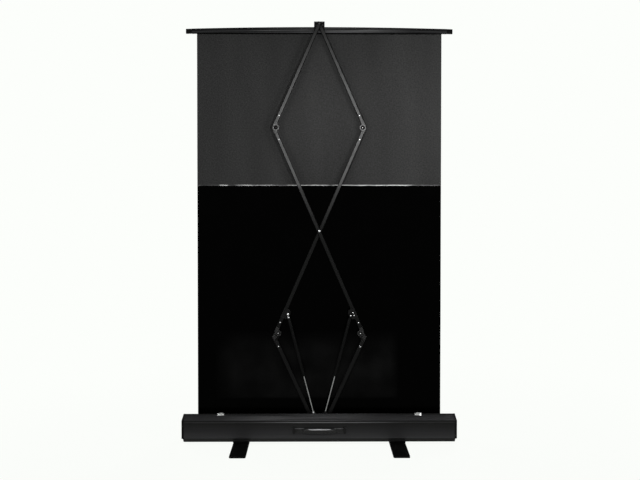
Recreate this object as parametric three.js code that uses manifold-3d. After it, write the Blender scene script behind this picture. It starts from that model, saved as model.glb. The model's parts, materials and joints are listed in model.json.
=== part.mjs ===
// A floor-rising projection screen with its back towards -Y, standing raised.
// A roller in the case on the floor holds the fabric, and a scissor frame of six flat
// tubes with two gas struts pushes the top bar up. Lengths are in millimetres, +Z is up,
// and the origin is on the floor under the middle of the case.
import * as THREE from 'three';
import { mergeVertices } from 'three/addons/utils/BufferGeometryUtils.js';
import Module from 'manifold-3d';

const wasm = await Module();
wasm.setup();

// Clearances and cuts
const gap = 0.3;
const overrun = 5;
const roundSteps = 16;

// Feet: flat bars that swivel under the case, each held by a saddle and a bolt
const footWidth = 75;
const footLength = 500;
const footThickness = 8;
const footInset = 268;
const footCorner = 6;
const saddleThickness = 6;
const saddleRise = 18;
const saddleSide = 2.5;
const boltRadius = 4;
const boltHeadRadius = 8;
const boltHeadThickness = 3;
const boltHeadSink = 0.8;
const nutRadius = 7;
const nutThickness = 4;

// Case: an extruded shell and cover, open along the top, with an end cap at each end
const caseDepth = 128;
const caseHeight = 129;
const caseOverhang = 56;
const shellWall = 2;
const slopeDepth = 24;
const slopeDrop = 27.6;
const chamferDepth = 8;
const chamferRise = 18.1;
const coverDrop = 25;
const slotAhead = 6.3;
const lipDrop = 10;
const coverSeam = 44;
const beadDrop = 8.2;
const beadHeight = 5;
const beadStand = 0.7;
const grooveWidth = 1.4;
const grooveDepth = 0.8;
const capThickness = 11;
const capTopInset = 7;
const capBottomInset = 9;
const capBottomRise = 16;
const capStep = 6.5;
const plugLength = 15;

// Fabric, roller and its bearings
const fabricY = 14;
const fabricWidth = 1160;
const fabricThickness = 0.8;
const seamHeight = 1219;
const rollerHeight = 70;
const rollerRadius = 19;
const rollerWall = 1.5;
const rollerOverhang = 5;
const woundThickness = 1.6;
const bearingBlock = 40;
const stubLength = 12;
const stubSlack = 0.8;
const springRadius = 14;
const springWire = 2.5;
const springLength = 450;
const springShaftRadius = 5;

// Scissor frame: pivot to pivot lengths and the lean of the raised arms from upright
const basePivotHeight = 31.6;
const lowerReach = 524.3;
const upperReach = 530.9;
const lowerLean = THREE.MathUtils.degToRad(21.87);
const upperLean = THREE.MathUtils.degToRad(22.78);
const armWidth = 18;
const armDepth = 8;
const armWall = 1.2;
const armToFabric = 11;
const layerSpace = 2;
const armEndRun = 7;

// Elbows: a lapped knuckle in each arm, its eye set inwards of the arm's axis
const eyeRadius = 15;
const upperEyeOffset = 9;
const crossEyeOffset = 12;
const lowerEyeOffset = 25;
const knuckleReach = 26;
const lowerArmSetback = 28;
const kneeRise = 14;
const tongueLength = 45;
const tongueSlack = 0.3;
const pinRadius = 4;
const pinHeadRadius = 7.5;
const pinHeadThickness = 1.4;
const washerRadius = 9;

// Base bracket inside the case, which both lower arms pivot on
const bracketHalfWidth = 40;
const bracketPlate = 3;
const bracketFrontHeight = 34;
const bracketStandOff = 1;
const bracketRearOff = 2.3;
const notchHalfWidth = 14;
const notchDrop = 46;
const studSpan = 52;
const studHeight = 138;
const studRise = 6;
const studRadius = 3.2;
const studCollar = 5.5;
const studHead = 5.5;
const studHeadDepth = 1.5;

// Gas struts between the crossing arms and the base bracket
const strutAlong = 100.7;
const strutInward = 10.4;
const strutRadius = 7.5;
const strutWall = 1.2;
const strutTubeLength = 285;
const strutLayer = 14;
const strutEyeRadius = 8.5;
const strutEyeDepth = 9;
const strutRodRadius = 3;
const strutRodOverlap = 28;
const strutNeck = 14;
const lugPlate = 3;
const lugHalfWidth = 9;
const lugReach = 24;
const lugBossRadius = 6;

// Top bar, bowed upwards, with the straight batten of the fabric's hem inside it
const barOverhang = 51.4;
const barCapLength = 27;
const barHeight = 22.4;
const barDepth = 15;
const barWall = 1.5;
const barRearY = 6.5;
const barHang = 44.5;
const barBow = 9;
const barSteps = 16;
const battenDrop = 1.9;
const battenHeight = 14.5;
const capPlugLength = 12;

// Bracket that hangs the top bar on the upper arms
const topBracketWidth = 50;
const topBracketAbovePivot = 12.3;
const topBracketPlate = 2.8;
const topBracketSkirt = 16;

// Carry handle: a strap with a grip, its ends held in two caps on the rear face
const handleTop = 85;
const handleCapHeight = 28;
const handleCapWidth = 14;
const handleCapDepth = 11;
const handleHalfSpan = 126;
const strapHeight = 22;
const strapThickness = 4;
const strapStand = 1.5;
const strapPocket = 8.8;
const gripHalfLength = 78;
const gripHeight = 20;
const gripDepth = 18;
const gripRound = 5;
const strapEndRun = 10;
const strapHingeRadius = 2;
const pocketWall = 2.5;

// Catches at the slot's rear edge, near the ends
const catchInset = 171;
const catchWidth = 31;
const catchPlate = 1.2;
const catchSlopeRun = 11;
const catchStand = 5;
const catchLipDrop = 8;
const hookDrop = 17;
const hookThickness = 2;
const hookHalfWidth = 9;
const hookPinRadius = 1.6;
const hookEyeRadius = 3.2;

// Places that follow from the sizes above
const saddleBottom = footThickness + gap;
const caseBottom = saddleBottom + saddleThickness + gap;
const caseTop = caseBottom + caseHeight;
const caseHalfDepth = caseDepth / 2;
const faceTop = caseTop - slopeDrop;
const slotRearY = slopeDepth - caseHalfDepth;
const slotFrontY = fabricY + slotAhead;
const coverFaceTop = faceTop - coverDrop;
const coverTop = caseTop - coverDrop;
const coverSlopeY = caseHalfDepth - slopeDepth;
const slotFrontTop = caseTop - coverDrop * (slotFrontY - slotRearY) / (coverSlopeY - slotRearY);
const shellHalfLength = fabricWidth / 2 + caseOverhang;
const rollerHalfLength = fabricWidth / 2 + rollerOverhang;
const barHalfLength = fabricWidth / 2 + barOverhang;
const footOffset = shellHalfLength - footInset;
const catchOffset = shellHalfLength - catchInset;
const capInnerX = shellHalfLength + gap;
const capOuterX = shellHalfLength + capThickness;
const woundRadius = rollerRadius + gap + woundThickness;
const rollerY = fabricY + fabricThickness / 2 + gap + woundRadius;
const bearingStubX = rollerHalfLength - stubLength;
const innerLayerY = fabricY - armToFabric - armDepth / 2;
const outerLayerY = innerLayerY - armDepth - layerSpace;
const strutY = outerLayerY - armDepth / 2 - strutLayer;
const bracketRearY = outerLayerY - armDepth / 2 - bracketRearOff;
const bracketFrontY = innerLayerY + armDepth / 2 + bracketStandOff;
const basePivot = point(0, basePivotHeight);
const lowerElbow = point(lowerReach * Math.sin(lowerLean), basePivotHeight + lowerReach * Math.cos(lowerLean));
const centrePivot = point(0, basePivotHeight + 2 * lowerReach * Math.cos(lowerLean));
const upperElbow = point(upperReach * Math.sin(upperLean), centrePivot.y + upperReach * Math.cos(upperLean));
const topPivot = point(0, centrePivot.y + 2 * upperReach * Math.cos(upperLean));
const barEndHeight = topPivot.y - barHang;
const battenBottom = barEndHeight - battenDrop;

// Finishes
const finishes = {
  anodised: { color: 0x1e1e1f, roughness: 0.45, metalness: 0.6 },
  armPaint: { color: 0x2a2a2b, roughness: 0.5, metalness: 0.3 },
  moulded: { color: 0x161616, roughness: 0.6, metalness: 0 },
  steel: { color: 0xa8a8aa, roughness: 0.35, metalness: 1 },
  plated: { color: 0xc8c8c8, roughness: 0.15, metalness: 1 },
  blackSteel: { color: 0x141414, roughness: 0.4, metalness: 0.5 },
  sheetBack: { color: 0x333333, roughness: 0.8, metalness: 0 },
  dropBack: { color: 0x050505, roughness: 0.25, metalness: 0 },
  grip: { color: 0x101010, roughness: 0.55, metalness: 0 },
};

function point(x, y) {
  return new THREE.Vector2(x, y);
}

function outline(...corners) {
  return corners.map(([x, y]) => point(x, y));
}

function rectangle(x0, x1, y0, y1) {
  return outline([x0, y0], [x1, y0], [x1, y1], [x0, y1]);
}

function circle(x, y, radius) {
  const turn = (2 * Math.PI) / roundSteps;
  const angles = Array.from({ length: roundSteps }, (_, i) => i * turn);
  return angles.map((angle) => point(x + radius * Math.cos(angle), y + radius * Math.sin(angle)));
}

// A rectangle with quarter-round corners.
function roundedRectangle(x0, x1, y0, y1, radius) {
  const centres = outline(
    [x1 - radius, y1 - radius],
    [x0 + radius, y1 - radius],
    [x0 + radius, y0 + radius],
    [x1 - radius, y0 + radius],
  );
  const steps = roundSteps / 4;
  return centres.flatMap((centre, quarter) => Array.from({ length: steps + 1 }, (_, i) => {
    const angle = (Math.PI / 2) * (quarter + i / steps);
    return point(centre.x + radius * Math.cos(angle), centre.y + radius * Math.sin(angle));
  }));
}

// The path moved sideways by a distance, to its left where the distance is positive.
function offsetPath(path, distance) {
  return path.map((corner, i) => {
    const before = path[Math.max(i - 1, 0)];
    const after = path[Math.min(i + 1, path.length - 1)];
    const first = corner.clone().sub(before);
    const second = after.clone().sub(corner);
    const into = (first.length() > 0 ? first : second).clone().normalize();
    const out = (second.length() > 0 ? second : first).clone().normalize();
    const left = point(-into.y, into.x).add(point(-out.y, out.x));
    return corner.clone().addScaledVector(left, (2 * distance) / left.lengthSq());
  });
}

// A wall of even thickness along a path.
function wallAlong(path, thickness) {
  return [...path, ...offsetPath(path, thickness).reverse()];
}

// The solid of a closed mesh, with only positions kept and shared corners merged.
function solidOf(geometry) {
  geometry.deleteAttribute('normal');
  geometry.deleteAttribute('uv');
  const merged = mergeVertices(geometry);
  return new wasm.Manifold(new wasm.Mesh({
    numProp: 3,
    vertProperties: new Float32Array(merged.attributes.position.array),
    triVerts: new Uint32Array(merged.index.array),
  }));
}

function extruded(section, length, xTo, yTo, zTo, start, holes) {
  const shape = new THREE.Shape(section);
  shape.holes = holes.map((hole) => new THREE.Path(hole));
  const geometry = new THREE.ExtrudeGeometry(shape, { depth: length, bevelEnabled: false });
  geometry.applyMatrix4(new THREE.Matrix4().makeBasis(xTo, yTo, zTo));
  geometry.translate(start.x, start.y, start.z);
  return solidOf(geometry);
}

const xAxis = new THREE.Vector3(1, 0, 0);
const yAxis = new THREE.Vector3(0, 1, 0);
const zAxis = new THREE.Vector3(0, 0, 1);

// A section in Y and Z, run from x0 to x1.
function alongX(section, x0, x1, ...holes) {
  return extruded(section, x1 - x0, yAxis, zAxis, xAxis, new THREE.Vector3(x0, 0, 0), holes);
}

// A section in X and Z, run from y0 to y1.
function alongY(section, y0, y1, ...holes) {
  const back = yAxis.clone().negate();
  return extruded(section, y1 - y0, xAxis, zAxis, back, new THREE.Vector3(0, y1, 0), holes);
}

// A section in X and Y, run from z0 to z1.
function alongZ(section, z0, z1, ...holes) {
  return extruded(section, z1 - z0, xAxis, yAxis, zAxis, new THREE.Vector3(0, 0, z0), holes);
}

function box(x0, x1, y0, y1, z0, z1) {
  return alongZ(rectangle(x0, x1, y0, y1), z0, z1);
}

// A box between two X values given in either order, for pieces made for both sides.
function sideBox(xa, xb, y0, y1, z0, z1) {
  return box(Math.min(xa, xb), Math.max(xa, xb), y0, y1, z0, z1);
}

function sideAlongX(section, xa, xb, ...holes) {
  return alongX(section, Math.min(xa, xb), Math.max(xa, xb), ...holes);
}

function joined(first, ...others) {
  return others.reduce((all, other) => all.add(other), first);
}

function cut(first, ...others) {
  return others.reduce((all, other) => all.subtract(other), first);
}

// A named mesh of a solid in its own finish.
function piece(name, solid, finish) {
  const { vertProperties, triVerts } = solid.getMesh();
  const geometry = new THREE.BufferGeometry();
  geometry.setAttribute('position', new THREE.BufferAttribute(vertProperties, 3));
  geometry.setIndex(new THREE.BufferAttribute(triVerts, 1));
  geometry.computeVertexNormals();
  const mesh = new THREE.Mesh(geometry, new THREE.MeshStandardMaterial(finishes[finish]));
  mesh.name = name;
  return mesh;
}

function group(...members) {
  const made = new THREE.Group();
  made.add(...members);
  return made;
}

function sideName(side) {
  return side < 0 ? 'left' : 'right';
}

// The rear half of the case's section, from the slot's lip round to the seam in the base.
function rearPath() {
  return outline(
    [slotRearY, caseTop - lipDrop],
    [slotRearY, caseTop],
    [-caseHalfDepth, faceTop],
    [-caseHalfDepth, caseBottom + chamferRise],
    [chamferDepth - caseHalfDepth, caseBottom],
    [coverSeam, caseBottom],
  );
}

// The front half, from the seam in the base up to the slot's front lip. Its top lies lower
// than the slot's rear edge and slants, so that nothing of it shows from behind.
function frontPath() {
  return outline(
    [coverSeam + gap, caseBottom],
    [caseHalfDepth - chamferDepth, caseBottom],
    [caseHalfDepth, caseBottom + chamferRise],
    [caseHalfDepth, coverFaceTop],
    [coverSlopeY, coverTop],
    [slotFrontY, slotFrontTop],
    [slotFrontY, slotFrontTop - lipDrop],
  );
}

// The whole outer section of the case, closed across the slot.
function casePath() {
  return outline(
    [slotRearY, caseTop],
    [-caseHalfDepth, faceTop],
    [-caseHalfDepth, caseBottom + chamferRise],
    [chamferDepth - caseHalfDepth, caseBottom],
    [caseHalfDepth - chamferDepth, caseBottom],
    [caseHalfDepth, caseBottom + chamferRise],
    [caseHalfDepth, coverFaceTop],
    [coverSlopeY, coverTop],
  );
}

function boltHole(side, z0, z1) {
  return alongZ(circle(side * footOffset, 0, boltRadius + gap), z0, z1);
}

function rearShell() {
  const grooveTop = faceTop - grooveWidth;
  const beadTop = faceTop - beadDrop + beadHeight / 2;
  const beadBottom = beadTop - beadHeight;
  const face = -caseHalfDepth;
  const groove = (z) => box(
    -shellHalfLength - overrun,
    shellHalfLength + overrun,
    face - overrun,
    face + grooveDepth,
    z,
    z + grooveWidth,
  );
  const bead = box(-shellHalfLength, shellHalfLength, face - beadStand, face, beadBottom, beadTop);
  const plain = alongX(wallAlong(rearPath(), shellWall), -shellHalfLength, shellHalfLength);
  const grooved = cut(plain, groove(grooveTop), groove(beadBottom - grooveWidth));
  const holes = [-1, 1].map((side) => boltHole(side, caseBottom - overrun, caseBottom + overrun));
  return piece('case_rear_shell', cut(joined(grooved, bead), ...holes), 'anodised');
}

function frontCover() {
  const section = wallAlong(frontPath(), shellWall);
  return piece('case_front_cover', alongX(section, -shellHalfLength, shellHalfLength), 'anodised');
}

// An end cap: the case's section with slanted edges, and a plug that fits inside the shells.
function endCap(side) {
  const silhouette = outline(
    [side * capInnerX, caseBottom - gap],
    [side * (capOuterX - capBottomInset), caseBottom - gap],
    [side * (capOuterX - capStep), caseBottom + capBottomRise],
    [side * capOuterX, caseBottom + capBottomRise],
    [side * capOuterX, faceTop],
    [side * (capOuterX - capTopInset), caseTop],
    [side * capInnerX, caseTop],
  );
  const body = sideAlongX(casePath(), side * capInnerX, side * capOuterX);
  const slanted = body.intersect(alongY(silhouette, -caseDepth, caseDepth));
  const plugPath = offsetPath(casePath(), shellWall + gap);
  const plug = sideAlongX(plugPath, side * (capInnerX - plugLength), side * (capInnerX + gap));
  const plugTop = slotFrontTop - lipDrop - gap;
  const plugEnd = side * (capInnerX - overrun - plugLength);
  const below = sideBox(plugEnd, side * capOuterX, -caseDepth, caseDepth, 0, plugTop);
  return piece(`end_cap_${sideName(side)}`, joined(slanted, plug.intersect(below)), 'moulded');
}

// A bearing block on the end cap's plug, with the stub that the roller tube turns on.
function rollerBearing(side) {
  const blockOuter = side * (capInnerX - plugLength - gap);
  const blockInner = side * (rollerHalfLength + overrun);
  const half = bearingBlock / 2;
  const section = rectangle(rollerY - half, rollerY + half, rollerHeight - half, rollerHeight + half);
  const block = sideAlongX(section, blockInner, blockOuter);
  const stubRadius = rollerRadius - rollerWall - stubSlack;
  const stub = sideAlongX(circle(rollerY, rollerHeight, stubRadius), side * bearingStubX, blockOuter);
  return piece(`roller_bearing_${sideName(side)}`, joined(block, stub), 'moulded');
}

function rollerTube() {
  const bore = circle(rollerY, rollerHeight, rollerRadius - rollerWall);
  const tube = alongX(circle(rollerY, rollerHeight, rollerRadius), -rollerHalfLength, rollerHalfLength, bore);
  return piece('roller_tube', tube, 'steel');
}

function fabricWrap() {
  const bore = circle(rollerY, rollerHeight, rollerRadius + gap);
  const wrap = alongX(circle(rollerY, rollerHeight, woundRadius), -fabricWidth / 2, fabricWidth / 2, bore);
  return piece('fabric_wrap', wrap, 'dropBack');
}

// The return spring round its shaft, whose ends reach the two bearing stubs.
function returnSpring() {
  const reach = bearingStubX - gap;
  const start = springRadius - reach;
  const bore = circle(rollerY, rollerHeight, springRadius - springWire);
  const coil = alongX(circle(rollerY, rollerHeight, springRadius), start, start + springLength, bore);
  const anchor = alongX(circle(rollerY, rollerHeight, springRadius), start, start + 2 * springWire);
  const shaft = alongX(circle(rollerY, rollerHeight, springShaftRadius), -reach, reach);
  return piece('return_spring', joined(coil, anchor, shaft), 'blackSteel');
}

function fabricPanel(name, bottom, top, finish) {
  const half = fabricThickness / 2;
  const width = fabricWidth / 2;
  return piece(name, box(-width, width, fabricY - half, fabricY + half, bottom, top), finish);
}

function footMount(side) {
  const inner = offsetPath(casePath().slice(1, 7), -gap);
  const lift = saddleBottom + saddleRise;
  const outer = outline(
    [-caseHalfDepth - gap, lift],
    [-caseHalfDepth - saddleSide, lift],
    [-caseHalfDepth - saddleSide, caseBottom + overrun],
    [chamferDepth - caseHalfDepth - saddleSide, saddleBottom],
    [caseHalfDepth - chamferDepth + saddleSide, saddleBottom],
    [caseHalfDepth + saddleSide, caseBottom + overrun],
    [caseHalfDepth + saddleSide, lift],
    [caseHalfDepth + gap, lift],
  );
  const half = footWidth / 2;
  const place = side * footOffset;
  const block = alongX(outer, place - half, place + half);
  const hollow = alongX(inner, place - footWidth, place + footWidth);
  const hole = boltHole(side, 0, caseBottom + overrun);
  return piece(`foot_mount_${sideName(side)}`, cut(block, hollow, hole), 'moulded');
}

function foot(side) {
  const half = footWidth / 2;
  const reach = footLength / 2;
  const plan = roundedRectangle(-half, half, -reach, reach, footCorner);
  const sink = circle(0, 0, boltHeadRadius + gap);
  const recess = alongZ(sink, -overrun, boltHeadSink + boltHeadThickness + gap);
  const bar = alongZ(plan, 0, footThickness, circle(0, 0, boltRadius + gap));
  const mesh = piece(`foot_${sideName(side)}`, cut(bar, recess), 'blackSteel');
  mesh.position.x = side * footOffset;
  return mesh;
}

// A foot's pivot bolt, with its head sunk in the bar and its nut inside the case.
function footBolt(side) {
  const nutBottom = caseBottom + shellWall + gap;
  const shank = alongZ(circle(0, 0, boltRadius), boltHeadSink, nutBottom + nutThickness);
  const head = alongZ(circle(0, 0, boltHeadRadius), boltHeadSink, boltHeadSink + boltHeadThickness);
  const nut = alongZ(circle(0, 0, nutRadius), nutBottom, nutBottom + nutThickness);
  const mesh = piece(`foot_bolt_${sideName(side)}`, joined(shank, head, nut), 'steel');
  mesh.position.x = side * footOffset;
  return mesh;
}

// The base bracket: a floor plate, a front plate, and a taller rear plate that carries the
// two strut studs and is notched for the crossing pin, which comes down between them.
function baseBracket() {
  const floor = caseBottom + shellWall + gap;
  const rearFace = bracketRearY - bracketPlate;
  const frontFace = bracketFrontY + bracketPlate;
  const pinHole = circle(0, basePivotHeight, pinRadius + gap);
  const studTop = studHeight + studRise;
  const frontTop = floor + bracketFrontHeight;
  const plateAcross = (low, high) => rectangle(-bracketHalfWidth, bracketHalfWidth, low, high);
  const base = box(-bracketHalfWidth, bracketHalfWidth, rearFace, frontFace, floor, floor + bracketPlate);
  const front = alongY(plateAcross(floor, frontTop), bracketFrontY, frontFace, pinHole);
  const rear = alongY(plateAcross(floor, studTop), rearFace, bracketRearY, pinHole);
  const notch = box(
    -notchHalfWidth,
    notchHalfWidth,
    rearFace - overrun,
    bracketRearY + overrun,
    studTop - notchDrop,
    studTop + overrun,
  );
  const studs = [-1, 1].map((side) => strutStud((side * studSpan) / 2, rearFace));
  return piece('base_bracket', joined(cut(joined(base, front, rear), notch), ...studs), 'blackSteel');
}

// A stud on the rear plate: a collar, the shank that a strut's lower eye turns on, a head.
function strutStud(x, plateFace) {
  const near = strutY - strutEyeDepth / 2 - gap;
  const far = strutY + strutEyeDepth / 2 + gap;
  const collar = alongY(circle(x, studHeight, studCollar), far, plateFace + gap);
  const shank = alongY(circle(x, studHeight, studRadius), near - gap, far + gap);
  const head = alongY(circle(x, studHeight, studHead), near - studHeadDepth, near);
  return joined(collar, shank, head);
}

// A headed pin along Y through the faces at y0 and y1.
function pin(y0, y1, radius, headRadius, headThickness) {
  const shank = alongY(circle(0, 0, radius), y0 - gap - headThickness, y1 + gap + headThickness);
  const near = alongY(circle(0, 0, headRadius), y0 - gap - headThickness, y0 - gap);
  const far = alongY(circle(0, 0, headRadius), y1 + gap, y1 + gap + headThickness);
  return joined(shank, near, far);
}

// The washer in the space between the two layers of arms.
function layerWasher() {
  const y0 = outerLayerY + armDepth / 2 + gap;
  return alongY(circle(0, 0, washerRadius), y0, y0 + layerSpace - 2 * gap);
}

function pivotPin(name, pivot, y0, y1) {
  const solid = joined(pin(y0, y1, pinRadius, pinHeadRadius, pinHeadThickness), layerWasher());
  const mesh = piece(name, solid, 'steel');
  mesh.position.set(pivot.x, 0, pivot.y);
  return mesh;
}

// An arm's own frame: its first pivot at the origin and its axis along +Z at x = axisX.
// Offsets are how far outwards of each pivot the axis runs, signed towards +X.
function armFrame(first, second, firstOffset, secondOffset) {
  const span = second.clone().sub(first);
  const shift = firstOffset - secondOffset;
  const lean = Math.atan2(span.x, span.y) - Math.asin(shift / span.length());
  const end = point(shift, Math.sqrt(span.lengthSq() - shift * shift));
  return { first, lean, axisX: firstOffset, end };
}

// A point of the raised screen, seen in an arm's own frame.
function inFrame(frame, place) {
  const from = place.clone().sub(frame.first);
  const cos = Math.cos(frame.lean);
  const sin = Math.sin(frame.lean);
  return point(from.x * cos - from.y * sin, from.x * sin + from.y * cos);
}

function armGroup(frame, layerY, ...members) {
  const made = group(...members);
  made.position.set(frame.first.x, layerY, frame.first.y);
  made.rotation.y = frame.lean;
  return made;
}

// A flat tube with round holes through both faces.
function armTube(name, axisX, z0, z1, ...pivots) {
  const half = armWidth / 2;
  const halfDepth = armDepth / 2;
  const section = rectangle(axisX - half, axisX + half, -halfDepth, halfDepth);
  const boreHalf = half - armWall;
  const boreDepth = halfDepth - armWall;
  const bore = rectangle(axisX - boreHalf, axisX + boreHalf, -boreDepth, boreDepth);
  const tube = alongZ(section, z0, z1, bore);
  const pinHole = (place) => alongY(circle(place.x, place.y, pinRadius + gap), -armDepth, armDepth);
  const holes = pivots.map(pinHole);
  return piece(name, cut(tube, ...holes), 'armPaint');
}

// A knuckle: an eye of half the arm's depth at the pivot, a full-depth shoulder clear of
// the other eye, and a tongue inside the tube. lap is -1 for the near half and 1 for the far.
function knuckle(name, pivot, axisX, along, reach, lap, shoulderFrom, body) {
  const halfDepth = armDepth / 2;
  const y0 = lap < 0 ? -halfDepth : gap / 2;
  const y1 = lap < 0 ? -gap / 2 : halfDepth;
  const side = Math.sign(axisX - pivot.x);
  const at = (x, z) => [pivot.x + side * x, pivot.y + along * z];
  const eye = alongY(circle(pivot.x, pivot.y, eyeRadius), y0, y1);
  const lapPlate = alongY(outline(...body.map(([x, z]) => at(x, z))), y0, y1);
  const full = alongY(outline(...body.map(([x, z]) => at(x, z))), -halfDepth, halfDepth);
  const clear = alongY(circle(pivot.x, pivot.y, eyeRadius + 2 * gap), -armDepth, armDepth);
  const cutBack = alongY(outline(...shoulderFrom.map(([x, z]) => at(x, z))), -armDepth, armDepth);
  const half = armWidth / 2 - armWall - tongueSlack;
  const deep = armDepth / 2 - armWall - tongueSlack;
  const start = pivot.y + along * (reach - gap);
  const finish = pivot.y + along * (reach + tongueLength);
  const tongueSection = rectangle(axisX - half, axisX + half, -deep, deep);
  const tongue = alongZ(tongueSection, Math.min(start, finish), Math.max(start, finish));
  const hole = alongY(circle(pivot.x, pivot.y, pinRadius + gap), -armDepth, armDepth);
  const solid = cut(joined(cut(full, clear, cutBack), eye, lapPlate, tongue), hole);
  return piece(name, solid, 'armPaint');
}

// The knuckle of a crossing or upper arm, as wide as its tube.
function straightKnuckle(name, pivot, axisX, along, lap) {
  const offset = Math.abs(axisX - pivot.x);
  const inner = offset - armWidth / 2;
  const outer = offset + armWidth / 2;
  const body = [[inner, 0], [outer, 0], [outer, knuckleReach - gap], [inner, knuckleReach - gap]];
  const below = [
    [-armWidth * 2, -armWidth],
    [armWidth * 2, -armWidth],
    [armWidth * 2, kneeRise],
    [-armWidth * 2, kneeRise],
  ];
  return knuckle(name, pivot, axisX, along, knuckleReach, lap, below, body);
}

// The knuckle plate of a lower arm, which carries the eye further inwards.
function kneeKnuckle(name, pivot, axisX, along, lap) {
  const offset = Math.abs(axisX - pivot.x);
  const inner = offset - armWidth / 2;
  const outer = offset + armWidth / 2;
  const body = [
    [0, -eyeRadius],
    [outer, 0],
    [outer, lowerArmSetback - gap],
    [inner, lowerArmSetback - gap],
    [0, eyeRadius],
  ];
  const beyond = [
    [-armWidth * 2, -armWidth * 2],
    [armWidth * 3, -armWidth * 2],
    [armWidth * 3, -gap],
    [-armWidth * 2, -gap],
  ];
  return knuckle(name, pivot, axisX, along, lowerArmSetback, lap, beyond, body);
}

function elbowPin(name, pivot) {
  const half = armDepth / 2;
  const mesh = piece(name, pin(-half, half, pinRadius, pinHeadRadius, pinHeadThickness), 'steel');
  mesh.position.set(pivot.x, 0, pivot.y);
  return mesh;
}

// A lower arm leans from the base pivot out to its elbow. side is where its elbow is.
function lowerArm(side, layerY) {
  const name = `lower_arm_${sideName(side)}`;
  const elbow = point(side * lowerElbow.x, lowerElbow.y);
  const frame = armFrame(basePivot, elbow, 0, side * lowerEyeOffset);
  const tube = armTube(name, 0, -armEndRun, frame.end.y - lowerArmSetback, point(0, 0));
  const eye = kneeKnuckle(`${name}_knuckle`, frame.end, 0, -1, 1);
  return armGroup(frame, layerY, tube, eye);
}

// A crossing arm runs from one lower elbow, through the centre, to the opposite upper one.
function crossArm(name, side, layerY) {
  const low = point(side * lowerElbow.x, lowerElbow.y);
  const high = point(-side * upperElbow.x, upperElbow.y);
  const frame = armFrame(low, high, side * crossEyeOffset, -side * upperEyeOffset);
  const top = frame.end.y - knuckleReach;
  const tube = armTube(name, frame.axisX, knuckleReach, top, inFrame(frame, centrePivot));
  const lowEye = straightKnuckle(`${name}_lower_knuckle`, point(0, 0), frame.axisX, 1, -1);
  const highEye = straightKnuckle(`${name}_upper_knuckle`, frame.end, frame.axisX, -1, 1);
  const lowPin = elbowPin(`lower_elbow_pin_${sideName(side)}`, point(0, 0));
  const highPin = elbowPin(`upper_elbow_pin_${sideName(-side)}`, frame.end);
  return armGroup(frame, layerY, tube, lowEye, highEye, lowPin, highPin);
}

// An upper arm leans from its elbow in to the top pivot. side is where its elbow is.
function upperArm(side, layerY) {
  const name = `upper_arm_${sideName(side)}`;
  const elbow = point(side * upperElbow.x, upperElbow.y);
  const frame = armFrame(elbow, topPivot, side * upperEyeOffset, 0);
  const tube = armTube(name, frame.axisX, knuckleReach, frame.end.y + armEndRun, frame.end);
  const eye = straightKnuckle(`${name}_knuckle`, point(0, 0), frame.axisX, 1, -1);
  return armGroup(frame, layerY, tube, eye);
}

// Where a strut's upper eye sits: along the crossing arm from the lower elbow, and inwards.
function strutTop(side) {
  const elbow = point(side * lowerElbow.x, lowerElbow.y);
  const along = centrePivot.clone().sub(elbow).normalize();
  const inward = point(side * -along.y, side * along.x);
  return elbow.addScaledVector(along, strutAlong).addScaledVector(inward, strutInward);
}

function strutGroup(side, ...members) {
  const top = strutTop(side);
  const foot = point((side * studSpan) / 2, studHeight);
  const made = group(...members);
  made.position.set(top.x, strutY, top.y);
  made.rotation.y = Math.atan2(foot.x - top.x, foot.y - top.y);
  return made;
}

function strutLength() {
  return strutTop(1).distanceTo(point(studSpan / 2, studHeight));
}

// The strut's cylinder, closed above and open below, with the socket at its upper end.
function strutTube(side) {
  const half = strutEyeDepth / 2;
  const socket = alongY(circle(0, 0, strutEyeRadius), -half, half);
  const neck = alongZ(circle(0, 0, strutRodRadius + strutWall), 0, strutNeck + strutWall);
  const end = strutNeck + strutTubeLength;
  const barrel = alongZ(circle(0, 0, strutRadius), strutNeck, end);
  const bore = alongZ(circle(0, 0, strutRodRadius + gap), strutNeck + strutWall * 2, end + overrun);
  return piece(`gas_strut_tube_${sideName(side)}`, cut(joined(socket, neck, barrel), bore), 'blackSteel');
}

function strutRod(side) {
  const length = strutLength();
  const half = strutEyeDepth / 2;
  const start = strutNeck + strutTubeLength - strutRodOverlap;
  const rod = alongZ(circle(0, 0, strutRodRadius), start, length - strutEyeRadius / 2);
  const eye = alongY(circle(0, length, strutEyeRadius), -half, half);
  const hole = alongY(circle(0, length, studRadius + gap), -strutEyeDepth, strutEyeDepth);
  return piece(`gas_strut_rod_${sideName(side)}`, cut(joined(rod, eye), hole), 'steel');
}

// The lug riveted to a crossing arm, with the boss that the strut's socket sits on.
function strutLug(side, layerY) {
  const top = strutTop(side);
  const elbow = point(side * lowerElbow.x, lowerElbow.y);
  const high = point(-side * upperElbow.x, upperElbow.y);
  const frame = armFrame(elbow, high, side * crossEyeOffset, -side * upperEyeOffset);
  const place = inFrame(frame, top);
  const armFace = layerY - armDepth / 2 - gap;
  const bossEnd = strutY + strutEyeDepth / 2 + gap;
  const outerEdge = frame.axisX + (side * armWidth) / 2;
  const innerEdge = place.x - side * lugHalfWidth;
  const plan = outline(
    [outerEdge, place.y - lugReach],
    [outerEdge, place.y + lugReach],
    [place.x, place.y + lugReach],
    [innerEdge, place.y + lugHalfWidth],
    [innerEdge, place.y - lugHalfWidth],
    [place.x, place.y - lugReach],
  );
  const plate = alongY(plan, armFace - lugPlate, armFace);
  const boss = alongY(circle(place.x, place.y, lugBossRadius), bossEnd, armFace);
  const mesh = piece(`strut_lug_${sideName(side)}`, joined(plate, boss), 'blackSteel');
  return armGroup(frame, 0, mesh);
}

// How far the bowed bar stands above its ends' line at x.
function bowAt(x) {
  return barBow * (1 - (x / barHalfLength) ** 2);
}

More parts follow.
